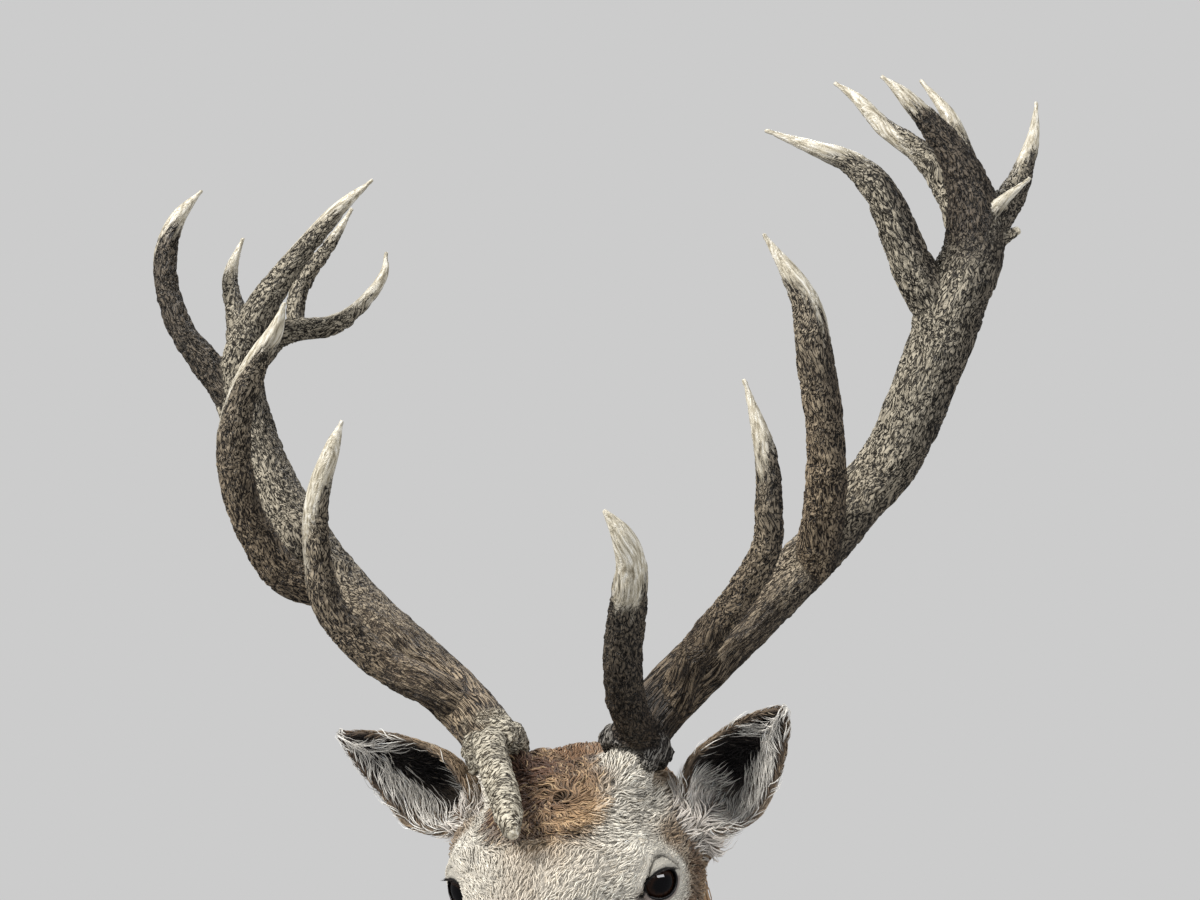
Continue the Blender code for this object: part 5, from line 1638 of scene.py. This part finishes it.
def mouth_body(obj):
    """The groove between the lips, from one corner round the front to the other."""
    tree = BVHTree.FromObject(obj, bpy.context.evaluated_depsgraph_get())
    to_face, turn = FACE.inverted(), FACE.to_3x3()

    def struck(start, way):
        return to_face @ tree.ray_cast(FACE @ Vector(start), turn @ Vector(way))[0]

    front = struck((0, -0.4, lip_height(0.0)), (0, 1, 0))
    left, right = ([struck((0.2 * side, front.y + MOUTH_LENGTH * share, lip_height(share)), (-side, 0, 0))
                    for share in np.linspace(0.06, 1.0, 16)] for side in SIDES.values())
    line = smooth_line([(*place, MOUTH_RADIUS) for place in (*left[::-1], front, *right)], 0.003)
    return moved(FACE, round_tube(line, 10))


# Looks of a tuft where its kind names no others: length, height off the skin and width as shares of the
# coat's own, the size of its clumps, how far they and single tufts turn aside, their curl, the crimp and its
# wavelength, the thickness by the width, the spread of tones, one colour for all, the shares of pale and dark
# tufts, the pale ones' colour, and the root's shade
LOOKS = {
    "long": 1.0, "high": 1.0, "wide": 1.0, "clump": 0.010, "wild": 0.5, "stray": 0.16, "curl": 0.5,
    "crimp": (0.0, 0.01), "thick": 0.55, "tone": 0.13, "paint": None, "pale_share": 0.06, "dark_share": 0.08,
    "pale": (206, 192, 168), "root_shade": 0.55,
}


class Coat:
    """The finished skin, as the tufts need it: its triangles, values and a search tree."""

    def __init__(self, obj, sources):
        mesh = obj.data
        self.points = points_of(mesh)
        self.normals = normals_of(mesh)
        values = sources.at(self.points)
        soft = slice(0, ZONE)
        values[:, soft] = smoothed(mesh, values[:, soft], 5)
        self.bare = 1 - np.clip(values[:, DENSE], 0, 1)
        mark_eyes(self.points, values)
        self.values = values
        mesh.calc_loop_triangles()
        self.triangles = read_out(mesh.loop_triangles, "vertices", 3, np.int32)
        a, b, c = (self.points[self.triangles[:, k]] for k in range(3))
        self.areas = np.linalg.norm(np.cross(b - a, c - a), axis=1) / 2
        self.tree = BVHTree.FromPolygons(self.points.tolist(), self.triangles.tolist())
        self.face_lie = unit(values[self.triangles][:, :, LIE].mean(1))
        self.zone = np.round(values[self.triangles[:, 0], ZONE]).astype(int)

    def roots(self, weight, count, seed):
        """Places spread over the skin: triangle and corner weights, denser where weight is higher."""
        draw = np.random.default_rng(seed)
        share = self.areas * weight
        total = np.concatenate([[0], np.cumsum(share)])
        wanted = (np.arange(count) + draw.uniform(0, 1, count)) / count * total[-1]
        face = np.clip(np.searchsorted(total, wanted) - 1, 0, len(share) - 1)
        u, v = draw.uniform(0, 1, (2, count))
        swap = u + v > 1
        u, v = np.where(swap, 1 - u, u), np.where(swap, 1 - v, v)
        return face, np.stack([1 - u - v, u, v], 1)

    def spread(self, table, face, weights):
        """A table's rows at places on the skin."""
        corners = self.triangles[face]
        return sum(table[corners[:, k]] * weights[:, k:k + 1] for k in range(3))


def grow(name, coat, weight, count, seed, steps, material, slot_name, looks):
    """Closed, tapered tufts that run over the skin along its lie, as one mesh."""
    look = {**LOOKS, **looks}
    face, weights = coat.roots(weight, count, seed)
    draw = np.random.default_rng(seed + 1)
    root = coat.spread(coat.points, face, weights)
    normal = unit(coat.spread(coat.normals, face, weights))
    values = coat.spread(coat.values, face, weights)
    # Places on the unwrap come from one corner where a triangle spans two parts of it
    corner_uv = coat.values[coat.triangles[face]][:, :, UV]
    torn = (corner_uv.max(1) - corner_uv.min(1)).max(1) > 0.05
    values[torn, UV] = corner_uv[torn, 0]
    length = values[:, LENGTH] * look["long"] * draw.uniform(0.70, 1.25, count)
    stand = values[:, STAND] * look["high"] * draw.uniform(0.45, 1.15, count)
    width = values[:, WIDTH] * look["wide"] * draw.uniform(0.75, 1.25, count)
    clump = look["clump"]
    stand = stand * (0.65 + 0.7 * cloud(root, clump, seed + 2))
    wander = (cloud(root, clump * 0.8, seed + 3) - 0.5) * 2 * look["wild"]
    wander = wander + draw.normal(0, look["stray"], count)
    curl = (cloud(root, clump * 1.3, seed + 4) - 0.5) * 2 * look["curl"]
    crimp, wave = look["crimp"]
    phase = cloud(root, clump * 1.5, seed + 5) * 4 * math.pi
    here, up, way = root, normal, unit(values[:, LIE])
    rows, ups = [root], [normal]
    for step in range(1, steps + 1):
        flat = unit(way - up * (way * up).sum(1, keepdims=True))
        turn = wander + curl * math.sin(math.pi * step / steps)
        turn = turn + crimp * np.sin(phase + 2 * math.pi * length * (step - 0.5) / steps / wave)
        heading = flat * np.cos(turn)[:, None] + np.cross(up, flat) * np.sin(turn)[:, None]
        here, ahead, index = nearest_on(coat.tree, here + heading * (length / steps)[:, None])
        up = unit(0.5 * up + 0.5 * ahead)
        way = coat.face_lie[index]
        rows.append(here)
        ups.append(up)
    ups = np.stack(ups, 1)
    share = np.linspace(0, 1, steps + 1)
    height = stand[:, None] * np.sin(np.minimum(share * 1.5, 1.0) * math.pi / 2) * (1 - TUFT_DROOP * share)
    height[:, 0] = -TUFT_SINK
    rows = np.stack(rows, 1) + ups * height[:, :, None]
    return tufts(name, rows, ups, width, values, draw, material, slot_name, looks)


def tuft_faces(stops):
    """The corners of one tuft's triangles: its closed root, its three sides at each stop, and its tip."""
    faces = [(0, 2, 1)]
    for i, k in itertools.product(range(stops - 2), range(3)):
        a, b = i * 3 + k, i * 3 + (k + 1) % 3
        faces += [(a, b, b + 3), (a, b + 3, a + 3)]
    last = (stops - 2) * 3
    return np.array(faces + [(last + k, last + (k + 1) % 3, last + 3) for k in range(3)])


def tufts(name, rows, ups, width, values, draw, material, slot_name, looks):
    """Three-sided tapered tufts through rows of points, as one mesh with its colours and bake map."""
    look = {**LOOKS, **looks}
    count, stops = rows.shape[:2]
    side = unit(np.cross(unit(np.gradient(rows, axis=1)), ups))
    share = np.linspace(0, 1, stops)
    taper = np.interp(share, (0, 0.3, 0.6, 0.85, 1), (0.75, 1.0, 0.85, 0.45, 0.0))
    half = (width[:, None] / 2 * taper)[:, :-1, None]
    body, beside, above = rows[:, :-1], side[:, :-1] * half, ups[:, :-1] * half * look["thick"]
    points = np.stack([body - beside, body + beside, body + above], 2).reshape(count, -1, 3)
    points = np.concatenate([points, rows[:, -1:]], 1)
    each = points.shape[1]
    loops = (tuft_faces(stops)[None] + np.arange(count)[:, None, None] * each).reshape(-1)
    mesh = bpy.data.meshes.new(name)
    mesh.vertices.add(count * each)
    mesh.vertices.foreach_set("co", points.reshape(-1).astype(np.float32))
    mesh.loops.add(len(loops))
    mesh.loops.foreach_set("vertex_index", loops.astype(np.int32))
    mesh.polygons.add(len(loops) // 3)
    mesh.polygons.foreach_set("loop_start", np.arange(0, len(loops), 3, dtype=np.int32))
    mesh.update(calc_edges=True)
    base = values[:, COLOUR] if look["paint"] is None else linear(look["paint"])
    tone = draw.normal(1.0, look["tone"], count) * (0.80 + 0.4 * cloud(rows[:, 0], 0.006, 7))
    colour = base * np.clip(tone, 0.35, 1.5)[:, None]
    pale = draw.uniform(0, 1, count) < look["pale_share"]
    colour[pale] = painted(colour[pale], look["pale"], 0.5)
    dark = draw.uniform(0, 1, count) < look["dark_share"]
    colour[dark] *= 0.55
    # Painted shade darkens each tuft towards its root, where the coat around it shades it, and its tip is made
    # a little lighter
    ends = np.concatenate([np.repeat(share[:-1], 3), [1.0]])
    shade = np.interp(ends, (0, 0.4, 1), (look["root_shade"], 0.95, 1.12))
    write_colours(mesh, "coat", np.clip(colour[:, None] * shade[:, None], 0, 1).reshape(-1, 3))
    across = np.concatenate([np.tile((-0.5, 0.5, 0.0), stops - 1), [0.0]])
    patch = np.stack([across, ends - 0.5], 1) * BAKE_PATCH
    write_bake_map(mesh, (values[:, None, UV] + patch).reshape(-1, 2)[loops])
    return finished(new_object(name, mesh), material, slot_name)


def dress_skin(obj, coat, material):
    """Colours and bake map of the skin, from the values of the coat that grows on it, darkened as painted shade
    under the hair.
    """
    mesh = obj.data
    # The skin takes the coat's colours darkened to 0.62 as painted shade between and under the tufts
    write_colours(mesh, "coat", np.clip(coat.values[:, COLOUR] * 0.62, 0, 1))
    write_values(mesh, "bare", coat.bare * (coat.values[:, ZONE] < 0.5))
    starts = read_out(mesh.polygons, "loop_start", 1, np.int32)
    corner = read_out(mesh.loops, "vertex_index", 1, np.int32)
    first = np.repeat(starts, np.diff(np.append(starts, len(corner))))
    # A face that spans two parts of the unwrap is laid out anew from its first corner
    uv = coat.values[corner][:, UV]
    lead = uv[first]
    offset = (coat.points[corner] - coat.points[corner[first]])[:, [0, 2]] * 0.4
    far = np.abs(uv - lead).max(1, keepdims=True) > 0.05
    write_bake_map(mesh, np.where(far, lead + offset, uv))
    return finished(obj, material, "face_coat", "head", "neck", "ear_left", "ear_right")


def coat_material(name, roughness, sheen):
    """Hair: the colour of each tuft, broken up by fine streaks."""
    n = Nodes(name)
    colour = n.attribute("coat", "Color")
    fine = n.noise(1300.0, 2.0)
    streaks = n.range(fine, 0.25, 0.75, 0.80, 1.18)
    gathered = n.add("ShaderNodeCombineColor", {"Red": streaks, "Green": streaks, "Blue": streaks}).outputs[0]
    colour = n.blend(1.0, colour, gathered, "MULTIPLY")
    n.shader.inputs["Sheen Weight"].default_value = sheen
    n.shader.inputs["Sheen Roughness"].default_value = 0.45
    n.shader.inputs["Specular IOR Level"].default_value = 0.25
    return n.finish(Base_Color=colour, Roughness=roughness, Normal=n.bump(fine, 0.0003, 0.5))


def skin_material():
    """The skin under the coat, and bare where the nose is."""
    n = Nodes("skin_under_coat")
    bare = n.attribute("bare")
    pebbles = n.add("ShaderNodeTexVoronoi", {"Scale": 620.0, "Vector": n.place()}, feature="DISTANCE_TO_EDGE")
    height = n.math("MULTIPLY", n.range(pebbles.outputs["Distance"], 0.0, 0.18), bare)
    hair = n.noise(1500.0, 3.0)
    both = n.math("ADD", height, n.math("MULTIPLY", hair, 0.5))
    colour = n.blend(bare, n.attribute("coat", "Color"), linear(NOSE_SKIN))
    rough = n.range(bare, 0.0, 1.0, 0.8, 0.30)
    return n.finish(Base_Color=colour, Roughness=rough, Normal=n.bump(both, 0.0006, 0.6))


def mane_locks(neck, material):
    """Long locks of the mane: bundles of strands that draw together towards each lock's tip."""
    draw = np.random.default_rng(301)
    rows_of_locks, around, strands, stops = 13, 17, 34, 6
    locks = []
    for row, k in itertools.product(range(rows_of_locks), range(around)):
        root = LOCK_FIRST + (LOCK_LAST - LOCK_FIRST) * row / (rows_of_locks - 1)
        angle = math.pi + LOCK_SPREAD * ((k + 0.5 + 0.5 * (row % 2)) / around * 2 - 1)
        angle = angle + draw.uniform(-0.05, 0.05)
        under = (1 - math.cos(angle)) / 2
        here = root + draw.uniform(-0.02, 0.02)
        length = min((LOCK_SHORT + (LOCK_LONG - LOCK_SHORT) * under) * draw.uniform(0.75, 1.15), here - 0.02)
        locks.append((here, angle, length, draw.uniform(-0.14, 0.14), LOCK_WIDE * draw.uniform(0.8, 1.2)))
    tones = np.repeat(draw.uniform(0.72, 1.28, len(locks)), strands)
    roots, angles, lengths, sways, wides = np.repeat(locks, strands, axis=0).T
    count = len(roots)
    beside = draw.uniform(-1, 1, count) * wides / LOCK_RADIUS / 2
    level = draw.uniform(0.25, 1.0, count)
    start = roots + draw.uniform(-0.05, 0.05, count)
    reach = np.minimum(lengths * draw.uniform(0.7, 1.05, count), start - 0.012)
    share = np.linspace(0, 1, stops)
    t = start[:, None] - reach[:, None] * share
    angle = (angles[:, None] + sways[:, None] * share**2 + beside[:, None] * (1 - 0.86 * share**1.1)
             + 0.035 * np.sin(share * 5 + draw.uniform(0, 6, count)[:, None]) * share)
    deep = coat_depth(t, angle)
    base = deep * UNDER_MANE
    rise = np.interp(share, (0, 0.25, 0.6, 1), (0.0, 0.55, 0.86, 1.0))
    height = base + (deep - base) * rise * (0.35 + 0.65 * level[:, None])
    height[:, 0] = base[:, 0] - 0.004
    rows = neck.place(t, angle, height)
    ups = unit(neck.place(t, angle, height + 0.01) - rows)
    rows[:, :, 1] = np.minimum(rows[:, :, 1], -BOARD_THICK - 0.004)
    turn = np.mod(angle[:, 0], 2 * math.pi)
    values = np.zeros((count, VALUE_COLUMNS))
    values[:, COLOUR] = neck_colour(start, angle[:, 0], rows[:, 0]) * tones[:, None]
    corner, size = np.array(NECK_CHART[:2]), np.subtract(NECK_CHART[2:], NECK_CHART[:2])
    values[:, UV] = corner + size * np.stack([turn / (2 * math.pi), np.clip(start, 0, 1)], 1)
    width = draw.uniform(0.0022, 0.0042, count)
    left = turn < math.pi
    for name, chosen in (("mane_locks_left", left), ("mane_locks_right", ~left)):
        tufts(name, rows[chosen], ups[chosen], width[chosen], values[chosen], draw, material, "mane_coat",
              {"thick": 0.5, "root_shade": 0.36, "tone": 0.18, "dark_share": 0.12, "pale_share": 0.07})


def lashes(side, material):
    """Short dark lashes on the upper lid."""
    draw = np.random.default_rng(400 + SIDES[side])
    count, stops = 34, 4
    angles = math.pi * (0.12 + 0.76 * (np.arange(count) + draw.uniform(0, 1, count)) / count)
    start, _ = lid_line(angles, 0.985, 0.0014)
    length = draw.uniform(0.0030, 0.0052, count)
    share = np.linspace(0, 1, stops)[None, :, None]
    way = unit(unit(start) + np.array((0.20, -0.05, 0)) + draw.normal(0, 0.10, (count, 3)))
    bow = np.array((0.30, -0.30, 0.1)) * share**2
    rows = placed(eye_frame(side), start[:, None] + (way[:, None] * share + bow) * length[:, None, None])
    ups = np.broadcast_to(turned(eye_frame(side), (0, 0.3, 1.0)), rows.shape)
    values = np.zeros((count, VALUE_COLUMNS))
    values[:, COLOUR] = linear((34, 26, 22))
    values[:, UV] = 0.5
    return tufts(f"lashes_{side}", rows, ups, np.full(count, 0.00045), values, draw, material, "face_coat",
                 {"pale_share": 0.0, "thick": 0.9})


def grow_coat(coat, neck):
    """Every piece of the coat: where it grows, how many tufts it has, their seed, steps and looks."""
    hair = coat_material("short_hair", 0.62, 0.10)
    mane_hair = coat_material("mane_hair", 0.55, 0.12)
    dense = np.clip(coat.values[coat.triangles][:, :, DENSE].mean(1), 0, 1)
    here = placed(FACE.inverted(), coat.points[coat.triangles].mean(1))
    left, high = here[:, 0] > 0, here[:, 2] > NECK_CUT_LEVEL
    on_neck, inner_ear, outer_ear = (coat.zone == zone for zone in (NECK_ZONE, INNER_EAR, OUTER_EAR))
    on_head = (coat.zone == HEAD_ZONE) * dense
    patch = patch_share(here) * on_head
    ahead = ramp(0.085, 0.045, here[:, 1])
    rest = on_head * (1 - 0.9 * patch)
    front = rest * ahead * (1 + 0.9 * ramp(0.046, 0.030, eye_distance(here)))
    rear = rest * (1 - ahead)
    fluff = ~on_neck * ramp(0.026, 0.014, ear_root_distance(here)) * np.where(left, 1.0, 0.45)
    face = {"wild": 0.45, "clump": 0.008, "crimp": (0.40, 0.009), "stray": 0.13, "root_shade": 0.50}
    mane = {"wild": 0.4, "clump": 0.022, "tone": 0.18, "curl": 0.35}
    in_ears = {"wild": 0.45, "clump": 0.008, "long": 2.4, "high": 2.1, "wide": 0.8, "paint": EAR_HAIR,
               "tone": 0.16, "root_shade": 0.45, "curl": 0.7, "dark_share": 0.12, "pale_share": 0.0}
    by_ears = {"wild": 0.40, "clump": 0.008, "long": 1.9, "high": 2.6, "wide": 0.9, "paint": FLUFF_HAIR,
               "tone": 0.16, "root_shade": 0.5, "curl": 0.5, "pale_share": 0.0}
    whorl = {"wild": 0.60, "clump": 0.014, "crimp": (0.75, 0.014), "tone": 0.22, "stray": 0.10, "thick": 0.75,
             "root_shade": 0.30, "pale_share": 0.14, "pale": (206, 178, 138), "dark_share": 0.12}
    on_ears = {"wild": 0.35, "clump": 0.006, "wide": 0.9, "pale_share": 0.05, "pale": (150, 142, 132)}
    few = 1.0
    for name, weight, count, seed, steps, looks in (
        ("coat_face_left", front * left, 10500, 501, 3, face),
        ("coat_face_right", front * ~left, 10500, 502, 3, face),
        ("coat_rear", rear, 9000, 511, 3, {"wild": 0.5, "clump": 0.012, "wide": 1.1}),
        ("coat_whorl", patch, 4300, 521, 7, whorl),
        ("coat_ears_inside", inner_ear * 1.0, 2400, 531, 3, on_ears),
        ("hair_in_ears", inner_ear * dense**2, 1500, 536, 5, in_ears),
        ("fluff_by_ears", fluff, 700, 538, 5, by_ears),
        ("coat_ears_outside", outer_ear * 1.0, 4800, 541, 3, {"wild": 0.2, "clump": 0.006}),
        ("coat_neck_upper", on_neck * high * 1.0, 6500, 551, 4, mane),
        ("coat_neck_lower", on_neck * ~high * 1.0, 6500, 552, 4, mane),
    ):
        material, slot_name = (mane_hair, "mane_coat") if "neck" in name else (hair, "face_coat")
        grow(name, coat, weight, round(count * few), seed, steps, material, slot_name, looks)
    mane_locks(neck, mane_hair)
    for side in SIDES:
        lashes(side, hair)


def board_piece(material):
    """The wooden shield: ogee edge and raised field, by depth from the wall and inset from its outline."""
    edge = BOARD_THICK - BOARD_RAISED
    profile = [(0.0, 0.0015), (0.0015, 0.0), (edge * 0.55, 0.0), (edge * 0.62, 0.0012), (edge * 0.70, 0.0042)]
    for turn in np.linspace(0, math.pi / 2, 9):
        profile.append((edge * (0.72 + 0.28 * math.sin(turn)), 0.0050 + 0.0110 * (1 - math.cos(turn))))
    profile.append((edge, BOARD_STEP_IN - 0.0005))
    for turn in np.linspace(0, math.pi / 2, 7):
        profile.append((BOARD_THICK - FIELD_ROUND * (1 - math.sin(turn)),
                        BOARD_STEP_IN + FIELD_ROUND * (1 - math.cos(turn))))
    loops = [[(x, -depth, BOARD_CENTRE_Z + z) for x, z in board_outline(inset)] for depth, inset in profile]
    mesh = turn_outward(mesh_of("board_shield", *closed_rows(np.array(loops))))
    bm = bmesh.new()
    bm.from_mesh(mesh)
    triangulated(bm)
    bm.to_mesh(mesh)
    bm.free()
    obj = finished(new_object("board_shield", mesh), material, "board_wood", "board")
    mesh.set_sharp_from_angle(angle=math.radians(32))
    return obj


def wood_material():
    """Dark stained oak under a satin varnish, its grain upright."""
    n = Nodes("board_oak")
    place = n.place((1, 1, 0.09))
    wave = n.noise(26.0, 4.0, place, 0.6)
    rings = n.add("ShaderNodeTexWave", {"Scale": 20.0, "Distortion": 5.0, "Detail": 3.0, "Detail Scale": 1.4,
                                        "Vector": place}, wave_type="BANDS", bands_direction="X")
    pores = n.noise(520.0, 2.0, n.place((1, 1, 0.035)))
    tone = n.weighed((wave, 0.74), (rings.outputs["Fac"], 0.26))
    colour = n.curve(tone, (0.15, (56, 31, 17)), (0.5, (86, 50, 27)), (0.85, (112, 69, 40)))
    dark_pores = n.range(pores, 0.56, 0.68, 0.0, 0.65)
    colour = n.blend(dark_pores, colour, linear((34, 18, 10)))
    n.shader.inputs["Coat Weight"].default_value = 0.35
    n.shader.inputs["Coat Roughness"].default_value = 0.18
    rough = n.range(tone, 0.2, 0.8, 0.42, 0.55)
    return n.finish(Base_Color=colour, Roughness=rough, Normal=n.bump(pores, 0.0004, 0.5))


def camera():
    """The camera, placed and turned as it was for the photograph."""
    forward = Vector((0, math.cos(CAMERA_PITCH), math.sin(CAMERA_PITCH)))
    up = Vector((0, -math.sin(CAMERA_PITCH), math.cos(CAMERA_PITCH)))
    right = Vector((1, 0, 0))
    turned_right = right * math.cos(CAMERA_ROLL) + up * math.sin(CAMERA_ROLL)
    turned_up = up * math.cos(CAMERA_ROLL) - right * math.sin(CAMERA_ROLL)
    data = bpy.data.cameras.new("camera")
    data.lens = CAMERA_LENS
    data.sensor_width = SENSOR_WIDTH
    data.sensor_fit = "HORIZONTAL"
    obj = new_object("camera", data)
    basis = Matrix((turned_right, turned_up, -forward)).transposed().to_4x4()
    obj.matrix_world = Matrix.Translation(CAMERA_PLACE) @ basis
    bpy.context.scene.camera = obj


def lamp(name, place, aim, size, power, colour):
    """One rectangular lamp that looks at a place."""
    data = bpy.data.lights.new(name, "AREA")
    data.shape = "RECTANGLE"
    data.size, data.size_y = size
    data.energy = power
    data.color = colour
    way = Vector(aim) - Vector(place)
    obj = new_object(name, data)
    obj.matrix_world = Matrix.Translation(place) @ way.to_track_quat("-Z", "Y").to_matrix().to_4x4()


def studio():
    """Pale grey surroundings, soft lamps and a pale floor far below."""
    world = bpy.data.worlds.new("studio")
    bpy.context.scene.world = world
    world.use_nodes = True
    tree = world.node_tree
    shown = tree.nodes["Background"]
    shown.inputs["Color"].default_value = (*linear((204, 204, 204)), 1)
    lighting, mirrored = (tree.nodes.new("ShaderNodeBackground") for _ in range(2))
    for background, strength in ((lighting, 0.51), (mirrored, 0.12)):
        background.inputs["Color"].default_value = (0.78, 0.80, 0.84, 1)
        background.inputs["Strength"].default_value = strength
    splitter, chooser = (tree.nodes.new("ShaderNodeMixShader") for _ in range(2))
    path = tree.nodes.new("ShaderNodeLightPath")
    for mixer, ray, otherwise, then in ((splitter, "Is Glossy Ray", lighting, mirrored),
                                        (chooser, "Is Camera Ray", splitter, shown)):
        for k, output in enumerate((path.outputs[ray], otherwise.outputs[0], then.outputs[0])):
            tree.links.new(output, mixer.inputs[k])
    tree.links.new(chooser.outputs[0], tree.nodes["World Output"].inputs["Surface"])
    for settings in LAMPS:
        lamp(*settings)
    bpy.ops.mesh.primitive_plane_add(size=FLOOR_SIZE, location=(0, 0, FLOOR_LEVEL))
    floor = bpy.context.object
    floor.name = "floor"
    n = Nodes("pale_floor")
    floor.data.materials.append(n.finish(Base_Color=(0.62, 0.62, 0.62, 1), Roughness=0.9))
    floor.visible_glossy = False
    bpy.context.scene.view_settings.view_transform = "Standard"


def main():
    for obj in list(bpy.data.objects):
        bpy.data.objects.remove(obj, do_unlink=True)
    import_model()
    camera()
    studio()
    bone, glass, rim = antler_material(), eye_material(), rim_material()
    for side in SIDES:
        antler_piece(side, bone)
    for side in SIDES:
        eyeball(side, glass)
        lid_rim(side, rim)
    board_piece(wood_material())
    neck = Neck()
    sources = Sources()
    skin = build_skin(sources, neck)
    sources.ready()
    coat = Coat(skin, sources)
    dress_skin(skin, coat, skin_material())
    grow_coat(coat, neck)


main()
